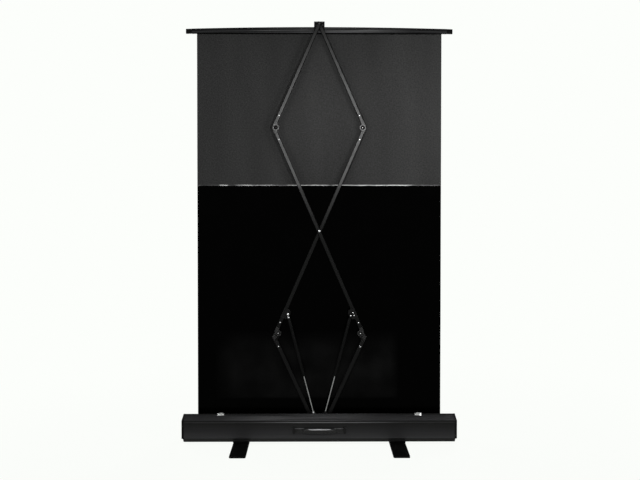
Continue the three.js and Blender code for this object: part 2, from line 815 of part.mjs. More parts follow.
// The bar is a channel open downwards, bent along its bow between two X values.
function bowedChannel(x0, x1, rear, front, wall, steps) {
  const section = [
    [rear, 0],
    [rear, barHeight],
    [front, barHeight],
    [front, 0],
    [front - wall, 0],
    [front - wall, barHeight - wall],
    [rear + wall, barHeight - wall],
    [rear + wall, 0],
  ];
  return bowed(section, x0, x1, steps);
}

// A section in Y and Z, swept along X so that it follows the bar's bow.
function bowed(section, x0, x1, steps) {
  const geometry = new THREE.ExtrudeGeometry(new THREE.Shape(outline(...section)), {
    depth: x1 - x0,
    steps,
    bevelEnabled: false,
  });
  geometry.applyMatrix4(new THREE.Matrix4().makeBasis(yAxis, zAxis, xAxis));
  geometry.translate(x0, 0, barEndHeight);
  const position = geometry.attributes.position;
  for (let i = 0; i < position.count; i += 1) {
    position.setZ(i, position.getZ(i) + bowAt(position.getX(i)));
  }
  return solidOf(geometry);
}

function topBar() {
  const reach = barHalfLength - barCapLength;
  const bar = bowedChannel(-reach, reach, barRearY, barRearY + barDepth, barWall, barSteps);
  return piece('top_bar', bar, 'anodised');
}

// A bar end cap, with a plug between the channel's walls.
function barCap(side) {
  const start = barHalfLength - barCapLength;
  const front = barRearY + barDepth;
  const full = [[barRearY, 0], [barRearY, barHeight], [front, barHeight], [front, 0]];
  const inset = barWall + gap;
  const plugSection = [
    [barRearY + inset, 0],
    [barRearY + inset, barHeight - inset],
    [front - inset, barHeight - inset],
    [front - inset, 0],
  ];
  const between = (section, xa, xb, steps) => bowed(
    section,
    Math.min(side * xa, side * xb),
    Math.max(side * xa, side * xb),
    steps,
  );
  const body = between(full, start + gap, barHalfLength, 2);
  const plug = between(plugSection, start - capPlugLength, start + 2 * gap, 1);
  return piece(`top_bar_cap_${sideName(side)}`, joined(body, plug), 'moulded');
}

function hemBatten() {
  const half = fabricWidth / 2;
  const rear = barRearY + barWall + gap;
  const front = barRearY + barDepth - barWall - gap;
  const batten = box(-half, half, rear, front, battenBottom, battenBottom + battenHeight);
  return piece('hem_batten', batten, 'anodised');
}

// A saddle over the middle of the bar, whose rear plate rises to the top pivot.
function topBracket() {
  const rearY = barRearY - gap;
  const frontY = barRearY + barDepth + gap;
  const barTop = barEndHeight + barHeight + barBow;
  const low = barTop - topBracketSkirt;
  const high = topPivot.y + topBracketAbovePivot;
  const half = topBracketWidth / 2;
  const plate = rectangle(-half, half, low, high);
  const rear = alongY(plate, rearY - topBracketPlate, rearY, circle(0, topPivot.y, pinRadius + gap));
  const bridgeBottom = barTop + gap;
  const bridgeTop = bridgeBottom + topBracketPlate;
  const bridge = box(-half, half, rearY - gap, frontY + topBracketPlate, bridgeBottom, bridgeTop);
  const front = box(-half, half, frontY, frontY + topBracketPlate, low, bridgeTop);
  return piece('top_bracket', joined(rear, bridge, front), 'blackSteel');
}

function handleCap(side) {
  const rear = -caseHalfDepth - gap;
  const outer = side * handleHalfSpan;
  const inner = side * (handleHalfSpan - handleCapWidth);
  const bottom = handleTop - handleCapHeight;
  const half = handleCapWidth / 2;
  const middle = (outer + inner) / 2;
  const plan = roundedRectangle(middle - half, middle + half, bottom, handleTop, half - gap);
  const body = alongY(plan, rear - handleCapDepth, rear);
  const strapMiddle = handleTop - handleCapHeight / 2;
  const strapHalf = strapHeight / 2 + gap;
  const pocket = sideBox(
    inner - side * overrun,
    outer - side * pocketWall,
    rear - strapPocket,
    rear - strapStand + gap,
    strapMiddle - strapHalf,
    strapMiddle + strapHalf,
  );
  return piece(`handle_cap_${sideName(side)}`, cut(body, pocket), 'moulded');
}

// The grip, with a slot down each end that the strap's hinge bead sits in.
function handleGrip() {
  const middle = handleTop - handleCapHeight / 2;
  const half = gripHeight / 2;
  const rear = -caseHalfDepth - gap - strapStand;
  const section = roundedRectangle(rear - gripDepth, rear, middle - half, middle + half, gripRound);
  const bar = alongX(section, -gripHalfLength, gripHalfLength);
  const hingeY = rear - strapThickness / 2 - gap;
  const slots = [-1, 1].map((side) => strapSlot(side, hingeY, middle));
  return piece('handle_grip', cut(bar, ...slots), 'grip');
}

// The space in the grip's end for the strap as it tilts.
function strapSlot(side, hingeY, middle) {
  const bead = circle(side * (gripHalfLength - overrun), hingeY, strapHingeRadius + gap);
  const reach = strapHeight;
  const mouth = outline(
    [side * (gripHalfLength - overrun), hingeY - strapHingeRadius - gap],
    [side * (gripHalfLength + overrun), hingeY - strapHingeRadius - gap],
    [side * (gripHalfLength + overrun), hingeY + strapThickness * 3],
    [side * (gripHalfLength - overrun), hingeY + strapThickness],
  );
  const round = alongZ(bead, middle - reach, middle + reach);
  return joined(round, alongZ(mouth, middle - reach, middle + reach));
}

// One end of the strap: a bead hinged in the grip, and a flat end inside its cap.
function handleStrap(side) {
  const middle = handleTop - handleCapHeight / 2;
  const rear = -caseHalfDepth - gap - strapStand;
  const hingeY = rear - strapThickness / 2 - gap;
  const half = strapHeight / 2;
  const bead = alongZ(circle(0, 0, strapHingeRadius), middle - half, middle + half);
  const reach = handleHalfSpan - handleCapWidth - gripHalfLength + overrun + strapEndRun;
  const blade = sideBox(0, side * reach, -strapHingeRadius, strapHingeRadius, middle - half, middle + half);
  const mesh = piece(`handle_strap_${sideName(side)}`, joined(bead, blade), 'grip');
  mesh.position.set(side * (gripHalfLength - overrun), hingeY, 0);
  return mesh;
}

// A plated catch plate on the slope, folded over the slot's rear edge.
function catchPlateSolid(side) {
  const run = point(-slopeDepth, -slopeDrop).normalize();
  const up = point(-run.y, run.x).negate();
  const edge = point(slotRearY, caseTop);
  const lift = (place, distance) => place.clone().addScaledVector(up, distance);
  const low = edge.clone().addScaledVector(run, catchSlopeRun);
  const standTop = caseTop + catchStand;
  const inside = slotRearY + gap;
  const section = [
    lift(low, gap),
    lift(edge, gap),
    point(inside, caseTop + gap),
    point(inside, caseTop - catchLipDrop),
    point(inside + catchPlate, caseTop - catchLipDrop),
    point(inside + catchPlate, standTop),
    point(inside - catchPlate * 2, standTop),
    lift(low, gap + catchPlate),
  ];
  const x = side * catchOffset;
  const half = catchWidth / 2;
  const plate = alongX(section, x - half, x + half);
  const eyeY = inside + catchPlate + hookEyeRadius + gap;
  const eyeZ = caseTop - catchLipDrop + hookEyeRadius;
  const ear = (from) => sideAlongX(
    rectangle(inside, eyeY + hookEyeRadius, eyeZ - hookEyeRadius, eyeZ + hookEyeRadius),
    from,
    from + catchPlate,
    circle(eyeY, eyeZ, hookPinRadius + gap),
  );
  const solid = joined(plate, ear(x - half), ear(x + half - catchPlate));
  return piece(`catch_plate_${sideName(side)}`, solid, 'plated');
}

// The hook that hangs from the catch plate's two ears.
function catchHook(side) {
  const half = catchWidth / 2 - catchPlate - gap;
  const pinHalf = catchWidth / 2;
  const rod = alongX(circle(0, 0, hookPinRadius), -pinHalf, pinHalf);
  const barrel = alongX(circle(0, 0, hookEyeRadius - gap), -half, half);
  const blade = box(-hookHalfWidth, hookHalfWidth, -hookThickness / 2, hookThickness / 2, -hookDrop, 0);
  const toe = box(
    -hookHalfWidth,
    hookHalfWidth,
    -hookThickness / 2,
    hookThickness * 2,
    -hookDrop,
    hookThickness - hookDrop,
  );
  const mesh = piece(`catch_hook_${sideName(side)}`, joined(rod, barrel, blade, toe), 'plated');
  const eyeY = slotRearY + gap + catchPlate + hookEyeRadius + gap;
  mesh.position.set(side * catchOffset, eyeY, caseTop - catchLipDrop + hookEyeRadius);
  return mesh;
}

function caseParts() {
  const ends = [-1, 1].flatMap((side) => [endCap(side), rollerBearing(side)]);
  const rest = [-1, 1].flatMap((side) => [footMount(side), footBolt(side), foot(side)]);
  const catches = [-1, 1].flatMap((side) => [catchPlateSolid(side), catchHook(side)]);
  return group(rearShell(), frontCover(), ...ends, ...rest, ...catches);
}

function handleParts() {
  const ends = [-1, 1].flatMap((side) => [handleCap(side), handleStrap(side)]);
  return group(handleGrip(), ...ends);
}

function rollerParts() {
  return group(rollerTube(), fabricWrap(), returnSpring());
}

function fabricParts() {
  const sheet = fabricPanel('viewing_sheet', seamHeight + gap, battenBottom - gap, 'sheetBack');
  const drop = fabricPanel('black_drop', rollerHeight, seamHeight, 'dropBack');
  return group(sheet, drop);
}

function frameParts() {
  const half = armDepth / 2;
  const outerFace = outerLayerY - half;
  const innerFace = innerLayerY + half;
  const plate = bracketPlate;
  return group(
    baseBracket(),
    pivotPin('base_pivot_pin', basePivot, bracketRearY - plate, bracketFrontY + plate),
    lowerArm(1, outerLayerY),
    crossArm('cross_arm_front', 1, outerLayerY),
    upperArm(-1, outerLayerY),
    lowerArm(-1, innerLayerY),
    crossArm('cross_arm_back', -1, innerLayerY),
    upperArm(1, innerLayerY),
    pivotPin('centre_pin', centrePivot, outerFace, innerFace),
    pivotPin('top_pin', topPivot, outerFace, barRearY - gap),
    strutLug(1, outerLayerY),
    strutLug(-1, innerLayerY),
    ...[-1, 1].map((side) => strutGroup(side, strutTube(side), strutRod(side))),
  );
}

function barParts() {
  return group(topBar(), barCap(-1), barCap(1), hemBatten(), topBracket());
}

const screen = group(caseParts(), handleParts(), rollerParts(), fabricParts(), frameParts(), barParts());

export default screen;
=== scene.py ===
# A floor-rising projection screen seen from behind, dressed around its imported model.
# Lengths and places are in millimetres until a mesh is made, but the lamps' and the floor's are
# in metres. Angles are in degrees.
import json
import math
import random
from collections import namedtuple

import bmesh
import bpy
from mathutils import Euler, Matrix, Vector, noise
from mathutils.geometry import tessellate_polygon


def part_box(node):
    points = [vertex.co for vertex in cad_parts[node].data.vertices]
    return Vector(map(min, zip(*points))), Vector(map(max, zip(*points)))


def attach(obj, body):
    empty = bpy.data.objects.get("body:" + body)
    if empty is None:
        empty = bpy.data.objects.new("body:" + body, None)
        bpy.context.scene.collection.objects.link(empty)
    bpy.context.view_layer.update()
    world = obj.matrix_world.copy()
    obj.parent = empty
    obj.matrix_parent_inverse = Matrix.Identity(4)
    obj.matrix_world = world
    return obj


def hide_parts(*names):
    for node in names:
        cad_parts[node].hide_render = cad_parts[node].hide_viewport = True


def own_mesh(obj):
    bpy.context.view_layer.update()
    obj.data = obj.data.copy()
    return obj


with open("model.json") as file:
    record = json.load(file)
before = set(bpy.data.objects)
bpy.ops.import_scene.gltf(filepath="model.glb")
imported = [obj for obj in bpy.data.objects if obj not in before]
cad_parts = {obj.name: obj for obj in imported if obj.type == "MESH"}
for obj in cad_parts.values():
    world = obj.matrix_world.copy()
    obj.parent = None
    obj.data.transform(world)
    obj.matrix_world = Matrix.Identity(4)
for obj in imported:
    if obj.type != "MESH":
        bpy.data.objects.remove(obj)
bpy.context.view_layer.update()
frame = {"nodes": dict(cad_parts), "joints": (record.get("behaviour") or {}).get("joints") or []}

MM = 0.001
SIDES = {"left": -1, "right": 1}
FIT = 0.3
Finish = namedtuple("Finish", "material slot")
Arm = namedtuple("Arm", "body layer first lean axis end")

# Sizes that several pieces share
CASE_HALF, CASE_BACK, CASE_BOTTOM, CASE_TOP = 636.0, 64.0, 14.6, 143.6
FACE_TOP, SLOPE_DEPTH, CHAMFER_DEPTH, CHAMFER_TOP = 116.0, 24.0, 8.0, 32.7
CASE_WALL, COVER_SEAM, COVER_DROP, REAR_LIP, FRONT_LIP, LIP_DROP = 2.0, 44.0, 25.0, -40.0, 20.3, 10.0
FABRIC_HALF, FABRIC_Y, FABRIC_THICK, SEAM_Z, CLOTH_STEP = 580.0, 14.0, 0.8, 1219.0, 12
ROLLER_Y, ROLLER_Z, ROLLER_RADIUS, ROLLER_HALF = 35.6, 70.0, 19.0, 585.0
ARM_WIDTH, ARM_DEPTH, ARM_WALL, ARM_ROUND = 18.0, 8.0, 1.2, 2.7
OUTER_LAYER, INNER_LAYER = -11.0, -1.0
EYE, KNUCKLE, SETBACK, PIN_HOLE = 15.0, 26.0, 28.0, 4.3
# How far outside its elbows an arm's axis runs, how far a tube runs past the pivot at its end,
# and how far from an elbow its rivets lie
LOWER_OFFSET, CROSS_OFFSET, UPPER_OFFSET = 25, 12, 9
TUBE_OVERRUN, RIVET_NEAR, RIVET_FAR = 7, 51, 58
STRUT_Y, STUD_X, STUD_Z = -29.0, 26.0, 138.0
BEAD_LOW, BEAD_TOP, GROOVE = 105.3, 110.3, 1.4
BAR_HALF, BAR_CAP, BAR_REAR, BAR_DEPTH, BAR_HEIGHT, BAR_BOW = 631.4, 27.0, 6.5, 15.0, 22.4, 9.0


# Outlines: closed lists of (u, v) points
def arc(u, v, radius, start, end, steps=12):
    turns = [math.radians(start + (end - start) * i / steps) for i in range(steps + 1)]
    return [(u + radius * math.cos(a), v + radius * math.sin(a)) for a in turns]


def circle(u, v, radius, steps=40):
    return arc(u, v, radius, 0, 360, steps)[:-1]


def rectangle(u0, u1, v0, v1):
    return [(u0, v0), (u1, v0), (u1, v1), (u0, v1)]


def rounded(corners, radius, steps=4):
    """The closed outline with each corner eased by a curve that starts radius away from it, and
    never further than a share of the side."""
    most_share = 0.45
    loop = []
    for i, corner in enumerate(corners):
        here = Vector(corner)
        before, after = Vector(corners[i - 1]) - here, Vector(corners[(i + 1) % len(corners)]) - here
        first = here + before.normalized() * min(radius, before.length * most_share)
        last = here + after.normalized() * min(radius, after.length * most_share)
        for k in range(steps + 1):
            t = k / steps
            spot = first * (1 - t) ** 2 + here * 2 * t * (1 - t) + last * t ** 2
            loop.append((spot.x, spot.y))
    return loop


def wound_to(loop, left):
    """The outline running anticlockwise where left is true, and clockwise where it is false."""
    area = sum(a[0] * b[1] - b[0] * a[1] for a, b in zip(loop, loop[1:] + loop[:1]))
    return loop if (area > 0) == left else loop[::-1]


def moved_left(path, distance, closed=True):
    """The path moved to its left by a distance at every corner, and no mitre runs far out."""
    least_mitre = 0.6
    moved = []
    last = len(path) - 1
    for i, corner in enumerate(path):
        here = Vector(corner)
        before = Vector(path[i - 1] if closed or i else path[0])
        after = Vector(path[(i + 1) % len(path)] if closed or i < last else path[last])
        into = (here - before) if (here - before).length else (after - here)
        out = (after - here) if (after - here).length else into
        into, out = into.normalized(), out.normalized()
        left = Vector((-into.y - out.y, into.x + out.x))
        spot = here + left * (2 * distance / max(left.length_squared, least_mitre))
        moved.append((spot.x, spot.y))
    return moved


def notched(start, end, shares, width, depth):
    """Points from start to end with grooves cut to the left at shares of the way."""
    start, end = Vector(start), Vector(end)
    way = end - start
    along = way.normalized()
    left = Vector((-along.y, along.x)) * depth
    points = [start]
    for share in shares:
        middle = start + way * share
        for step, drop in ((-0.5, 0), (-0.3, 1), (0.3, 1), (0.5, 0)):
            points.append(middle + along * width * step + left * drop)
    return [(p.x, p.y) for p in points + [end]]


# Placings: how an outline's (u, v) and the way w along it lie in the scene
def facing_back(u, v, w):
    """A face seen from behind, u across and v up."""
    return u, w, v


def along_case(u, v, w):
    """A section run along the case, u towards the audience and v up."""
    return w, u, v


def lying_flat(u, v, w):
    """An outline seen from above."""
    return u, v, w


def bow(x):
    """How far the bowed bar stands above the line through its ends."""
    return BAR_BOW * (1 - (x / BAR_HALF) ** 2)


def along_bar(u, v, w):
    """Places a section on the bar, whose ends stand at BAR_END_Z and whose middle is bowed up."""
    return w, u, BAR_END_Z + v + bow(w)


def in_arm(arm, depth=0.0):
    """Places a face seen from behind, u across the arm from its first pivot and v along it."""
    cos, sin = math.cos(arm.lean), math.sin(arm.lean)
    x, y, z = arm.first.x, arm.layer + depth, arm.first.y
    return lambda u, v, w: (x + u * cos + v * sin, y + w, z - u * sin + v * cos)


def across(arm, p):
    """How far across the arm a place lies, from the line through its first pivot."""
    return (p.x - arm.first.x) * math.cos(arm.lean) - (p.z - arm.first.y) * math.sin(arm.lean)


def along_arm(arm):
    """Places a section, u across the arm and v through it, run along the arm."""
    face = in_arm(arm)
    return lambda u, v, w: face(u, w, v)


# Solids: lists of points and lists of faces
def prism(loops, low, high, edge=0.5, place=facing_back, steps=1, ease=2):
    """An extruded outline with eased end edges. Loops after the first are holes."""
    loops = [wound_to(loop, i == 0) for i, loop in enumerate(loops)]
    turns = [math.pi / 2 * k / ease for k in range(ease + 1)] if edge else []
    start = [(low + edge * (1 - math.cos(a)), edge * (1 - math.sin(a))) for a in turns] or [(low, 0)]
    finish = [(low + high - w, inset) for w, inset in reversed(start)]
    run = finish[0][0] - start[-1][0]
    middle = [(start[-1][0] + run * k / steps, 0) for k in range(1, steps)]
    points, levels = [], []
    for w, inset in start + middle + finish:
        level = []
        for loop in loops:
            eased = moved_left(loop, inset) if inset else loop
            level.append(range(len(points), len(points) + len(eased)))
            points += [place(u, v, w) for u, v in eased]
        levels.append(level)
    faces = []
    for near, far in zip(levels, levels[1:]):
        for a, b in zip(near, far):
            n = len(a)
            faces += [(a[i], a[(i + 1) % n], b[(i + 1) % n], b[i]) for i in range(n)]
    outlines = [[Vector((u, v, 0)) for u, v in loop] for loop in loops]
    for level, turned_round in ((levels[0], True), (levels[-1], False)):
        names = [i for part in level for i in part]
        for triangle in tessellate_polygon(outlines):
            corners = tuple(names[i] for i in triangle)
            faces.append(corners[::-1] if turned_round else corners)
    return points, faces


def lofted(sections):
    """A solid through closed rings of points, flat at both ends."""
    count = len(sections[0])
    points = [p for section in sections for p in section]
    faces = []
    for k in range(len(sections) - 1):
        a, b = k * count, (k + 1) * count
        faces += [(a + i, a + (i + 1) % count, b + (i + 1) % count, b + i) for i in range(count)]
    last = len(points) - count
    return points, faces + [tuple(range(count))[::-1], tuple(range(last, last + count))]


def lathed(profile, base, direction, steps=32):
    """A turned solid from (distance along, radius) pairs, about the line from base."""
    base, axis = Vector(base), Vector(direction).normalized()
    side = axis.orthogonal().normalized()
    other = axis.cross(side)
    points, rings = [], []
    for along, radius in profile:
        turns = [2 * math.pi * k / steps for k in range(steps)] if radius > 0 else [0]
        rings.append(range(len(points), len(points) + len(turns)))
        centre = base + axis * along
        points += [tuple(centre + side * radius * math.cos(a) + other * radius * math.sin(a)) for a in turns]
    faces = []
    for a, b in zip(rings, rings[1:]):
        for k in range(steps):
            corners = [a[k % len(a)], a[(k + 1) % len(a)], b[(k + 1) % len(b)], b[k % len(b)]]
            kept = [c for i, c in enumerate(corners) if c not in corners[:i]]
            if len(kept) > 2:
                faces.append(tuple(kept))
    return points, faces


def ring(base, direction, inner, outer, height, steps=40):
    """A rounded rim standing on a face, as high as height."""
    middle, half = (inner + outer) / 2, (outer - inner) / 2
    turns = [math.pi * k / 6 for k in range(7)]
    profile = [(height * math.sin(a), middle - half * math.cos(a)) for a in turns]
    base, axis = Vector(base), Vector(direction).normalized()
    side = axis.orthogonal().normalized()
    other = axis.cross(side)
    points = []
    for k in range(steps):
        a = 2 * math.pi * k / steps
        outward = side * math.cos(a) + other * math.sin(a)
        points += [tuple(base + axis * h + outward * r) for h, r in profile]
    count = len(profile)
    faces = []
    for k in range(steps):
        a, b = k * count, (k + 1) % steps * count
        faces += [(a + i, b + i, b + (i + 1) % count, a + (i + 1) % count) for i in range(count)]
    return points, faces


def dome(radius, height, steps=5):
    """A rivet head's profile, from its seat to its crown."""
    turns = [math.pi / 2 * k / steps for k in range(1, steps)]
    crown = [(height * math.sin(a), radius * math.cos(a)) for a in turns]
    return [(0, 0), (0, radius)] + crown + [(height, 0)]


def swept(path, radius, steps=8):
    """A round wire along a path of points, none of which runs the way of aslant."""
    aslant = Vector((0.31, 0.2, 0.93))
    sections = []
    for i, spot in enumerate(path):
        ahead, behind = path[min(i + 1, len(path) - 1)], path[max(i - 1, 0)]
        way = (Vector(ahead) - Vector(behind)).normalized()
        side = way.cross(aslant).normalized()
        other = way.cross(side)
        turns = [2 * math.pi * k / steps for k in range(steps)]
        sections.append([tuple(Vector(spot) + side * radius * math.cos(a) + other * radius * math.sin(a))
                         for a in turns])
    return lofted(sections)


# Pieces
def finish_mesh(mesh, sharp=34):
    """Turns the faces outwards and shades the mesh smooth between its sharp edges."""
    work = bmesh.new()
    work.from_mesh(mesh)
    bmesh.ops.recalc_face_normals(work, faces=work.faces)
    work.to_mesh(mesh)
    work.free()
    mesh.shade_smooth()
    mesh.set_sharp_from_angle(angle=math.radians(sharp))


def shape(name, solids, finish, body, *stands_for, accents=()):
    """One piece made of solids, riding on a body in place of the nodes that it stands for.

    accents are (finish, test) pairs: faces whose middle, in millimetres, passes the test get
    that finish."""
    points, faces = [], []
    for solid_points, solid_faces in solids:
        first = len(points)
        points += [tuple(c * MM for c in p) for p in solid_points]
        faces += [tuple(first + i for i in face) for face in solid_faces]
    mesh = bpy.data.meshes.new(name)
    mesh.from_pydata(points, [], faces)
    finish_mesh(mesh)
    mesh.materials.append(finish.material)
    for k, (accent, test) in enumerate(accents):
        mesh.materials.append(accent.material)
        for face in mesh.polygons:
            if test(face.center / MM):
                face.material_index = k + 1
    piece = bpy.data.objects.new(name, mesh)
    bpy.context.scene.collection.objects.link(piece)
    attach(piece, body)
    if stands_for:
        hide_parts(*stands_for)
    return piece


def dress(node, finish, edge=0.6):
    """Gives a node of the model its finish and eased edges."""
    piece = frame["nodes"][node]
    piece.data.materials.clear()
    piece.data.materials.append(finish.material)
    weld = piece.modifiers.new("weld", "WELD")
    weld.merge_threshold = 0.02 * MM
    if edge:
        bevel = piece.modifiers.new("eased_edges", "BEVEL")
        bevel.width = edge * MM
        bevel.segments = 2
        bevel.limit_method = "ANGLE"
        bevel.angle_limit = math.radians(40)


def joint_place(name):
    """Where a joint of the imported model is."""
    return Vector(next(j["pos_m"] for j in frame["joints"] if j["name"] == name)) / MM


BAR_END_Z = joint_place("bar_level").z - 44.5


def node_middle(name):
    low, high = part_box(name)
    return (low + high) / 2 / MM


# Shader nodes
def linear(code):
    """A colour written as sRGB hex, as linear red, green, blue and alpha."""
    parts = [int(code[i:i + 2], 16) / 255 for i in (1, 3, 5)]
    return [v / 12.92 if v <= 0.04045 else ((v + 0.055) / 1.055) ** 2.4 for v in parts] + [1.0]


def add(tree, kind, settings=(), links=()):
    """Adds a shader node, sets its options and sockets, and links its inputs to other nodes."""
    made = tree.nodes.new("ShaderNode" + kind)
    for name, value in dict(settings).items():
        if isinstance(name, int) or name in made.inputs:
            made.inputs[name].default_value = value
        else:
            setattr(made, name, value)
    feed(tree, made, links)
    return made


def feed(tree, node, links):
    """Links a node's inputs to other nodes' first outputs, or to (node, output) pairs."""
    for name, source in dict(links).items():
        source, output = source if isinstance(source, tuple) else (source, 0)
        tree.links.new(source.outputs[output], node.inputs[name])


def spots(size):
    """The scale of a pattern whose spots are a size in millimetres."""
    return 1 / (size * MM)


def material(name, colour, settings):
    """A material that starts from one colour and the shader's own sockets."""
    made = bpy.data.materials.new(name)
    made.use_nodes = True
    made.diffuse_color = linear(colour)
    shader = made.node_tree.nodes["Principled BSDF"]
    shader.inputs["Base Color"].default_value = linear(colour)
    for socket, value in settings.items():
        shader.inputs[socket].default_value = value
    return made, made.node_tree, shader


def tone_ramp(tree, height, tones):
    """Colours that follow each other up a piece, from (height, colour) pairs in rising order."""
    low, high = tones[0][0], tones[-1][0]
    up = add(tree, "MapRange", {"From Min": low * MM, "From Max": high * MM}, {"Value": height})
    ramp = add(tree, "ValToRGB", (), {0: up})
    for k, (z, code) in enumerate(tones[:1] + tones[-1:] + tones[1:-1]):
        share = (z - low) / (high - low)
        stop = ramp.color_ramp.elements[k] if k < 2 else ramp.color_ramp.elements.new(share)
        stop.position, stop.color = share, linear(code)
    return ramp


def surface(name, dark, light, rough, settings, texture, cloud, depth, stretch=(1, 1, 1), swing=0.07):
    """A finish with a fine texture and slow clouds between two colours.

    texture and cloud are the sizes of their spots and depth is the texture's relief, all in
    millimetres. stretch draws the texture out along the axes, and swing is how far it moves
    the roughness each way."""
    made, tree, shader = material(name, light, settings)
    place = add(tree, "TexCoord")
    drawn = add(tree, "Mapping", {"Scale": [1 / s for s in stretch]}, {"Vector": (place, "Object")})
    fine = add(tree, "TexNoise", {"Scale": spots(texture), "Detail": 3.0}, {"Vector": drawn})
    slow = add(tree, "TexNoise", {"Scale": spots(cloud), "Detail": 2.0}, {"Vector": (place, "Object")})
    both = add(tree, "Math", {"operation": "ADD"}, {0: fine, 1: slow})
    blend = add(tree, "MapRange", {"From Min": 0.75, "From Max": 1.25}, {"Value": both})
    colours = {"data_type": "RGBA", 6: linear(dark), 7: linear(light)}
    colour = add(tree, "Mix", colours, {0: blend})
    gloss = {"From Min": 0.3, "From Max": 0.7, "To Min": rough - swing, "To Max": rough + swing}
    roughness = add(tree, "MapRange", gloss, {"Value": fine})
    relief = add(tree, "Bump", {"Distance": depth * MM}, {"Height": fine})
    feed(tree, shader, {"Base Color": (colour, 2), "Roughness": roughness, "Normal": relief})
    return made


def anodised(name, tones, sheen_colour, sheen_at, low_edge=0.0, high_edge=3000.0):
    """Black anodised aluminium extrusion: dyed satin metal with die lines along its length, drawn
    1.5 mm apart so that they show. tones are (height, colour) pairs of painted reflection and
    shade, for the floor or sky that each level of a standing case or bar would show, and the
    sheen colour is a painted highlight laid in streaks about a place along it, between two heights."""
    die_line, line_run, streak_size, streak_run = 1.5, 240, 7, 60
    sheen_half, plain_half, fade = 120, 380, 14
    made, tree, shader = material(name, tones[0][1], {"Metallic": 0.35, "Specular IOR Level": 0.1})
    place = add(tree, "TexCoord")
    drawn = add(tree, "Mapping", {"Scale": (1 / line_run, 1, 1)}, {"Vector": (place, "Object")})
    fine = add(tree, "TexNoise", {"Scale": spots(die_line), "Detail": 3.0}, {"Vector": drawn})
    long = add(tree, "Mapping", {"Scale": (1 / streak_run, 1, 1)}, {"Vector": (place, "Object")})
    slow = add(tree, "TexNoise", {"Scale": spots(streak_size), "Detail": 2.0}, {"Vector": long})
    spot = add(tree, "SeparateXYZ", (), {0: (place, "Object")})
    ramp = tone_ramp(tree, (spot, "Z"), tones)
    worn = {"From Min": 0.25, "From Max": 0.75, "To Min": 0.86, "To Max": 1.14}
    wear = add(tree, "MapRange", worn, {"Value": fine})
    plain = add(tree, "VectorMath", {"operation": "SCALE"}, {0: ramp, "Scale": wear})
    # Painted highlight: streaks about a place along the piece, fading out towards its ends and between two
    # heights
    shifted = add(tree, "Math", {"operation": "SUBTRACT", 1: sheen_at * MM}, {0: (spot, "X")})
    off = add(tree, "Math", {"operation": "ABSOLUTE"}, {0: shifted})
    reach = {"From Min": plain_half * MM, "From Max": sheen_half * MM}
    middle = add(tree, "MapRange", reach, {"Value": off})
    streaks = add(tree, "MapRange", {"From Min": 0.4, "From Max": 0.62}, {"Value": slow})
    reached = add(tree, "Math", {"operation": "GREATER_THAN", 1: low_edge * MM}, {0: (spot, "Z")})
    top = {"From Min": high_edge * MM, "From Max": (high_edge - fade) * MM}
    fades = add(tree, "MapRange", top, {"Value": (spot, "Z")})
    between = add(tree, "Math", {"operation": "MULTIPLY"}, {0: reached, 1: fades})
    there = add(tree, "Math", {"operation": "MULTIPLY"}, {0: middle, 1: between})
    painted_sheen = add(tree, "Math", {"operation": "MULTIPLY"}, {0: there, 1: streaks})
    colour = add(tree, "Mix", {"data_type": "RGBA", 7: linear(sheen_colour)}, {0: painted_sheen, 6: plain})
    gloss = {"From Min": 0.3, "From Max": 0.7, "To Min": 0.3, "To Max": 0.44}
    roughness = add(tree, "MapRange", gloss, {"Value": fine})
    relief = add(tree, "Bump", {"Distance": 0.03 * MM}, {"Height": fine})
    feed(tree, shader, {"Base Color": (colour, 2), "Roughness": roughness, "Normal": relief})
    return made


def moulded(name, dark, light, rough=0.5, level=0.15, texture=0.8):
    """Injection-moulded plastic: matte, with a fine spark-eroded texture."""
    return surface(name, dark, light, rough, {"Specular IOR Level": level}, texture, 40, 0.05)


def powder_coat(name, dark, light, rough=0.48, level=0.2):
    """Powder coat: an orange peel of 1 mm bumps, rubbed glossier in places."""
    return surface(name, dark, light, rough, {"Specular IOR Level": level}, 1.0, 30, 0.04)


def plated(name, dark, light, rough=0.28):
    """Plated steel: bright and smooth, with a faint mottle from its bath."""
    return surface(name, dark, light, rough, {"Metallic": 1.0}, 3.0, 9, 0.004, swing=0.05)


def satin_arms():
    """Satin coat on the arms and knuckles, with painted light and shade by height: the tubes that
    stand over the black drop are dark, those over the grey sheet are grey where the lamps light
    them and darker towards the top, and the tone turns where the crossing arms pass the seam."""
    made, tree, shader = material("satin_coated_arms", "#606060", {"Specular IOR Level": 0.06})
    place = add(tree, "TexCoord")
    peel = add(tree, "TexNoise", {"Scale": spots(1.0), "Detail": 2.0}, {"Vector": (place, "Object")})
    rub = add(tree, "TexNoise", {"Scale": spots(24), "Detail": 3.0}, {"Vector": (place, "Object")})
    spot = add(tree, "SeparateXYZ", (), {0: (place, "Object")})
    ramp = tone_ramp(tree, (spot, "Z"), ARM_TONES)
    worn = {"From Min": 0.3, "From Max": 0.7, "To Min": 0.85, "To Max": 1.12}
    wear = add(tree, "MapRange", worn, {"Value": rub})
    colour = add(tree, "VectorMath", {"operation": "SCALE"}, {0: ramp, "Scale": wear})
    gloss = {"From Min": 0.3, "From Max": 0.7, "To Min": 0.5, "To Max": 0.36}
    roughness = add(tree, "MapRange", gloss, {"Value": rub})
    relief = add(tree, "Bump", {"Distance": 0.04 * MM}, {"Height": peel})
    feed(tree, shader, {"Base Color": colour, "Roughness": roughness, "Normal": relief})
    return made


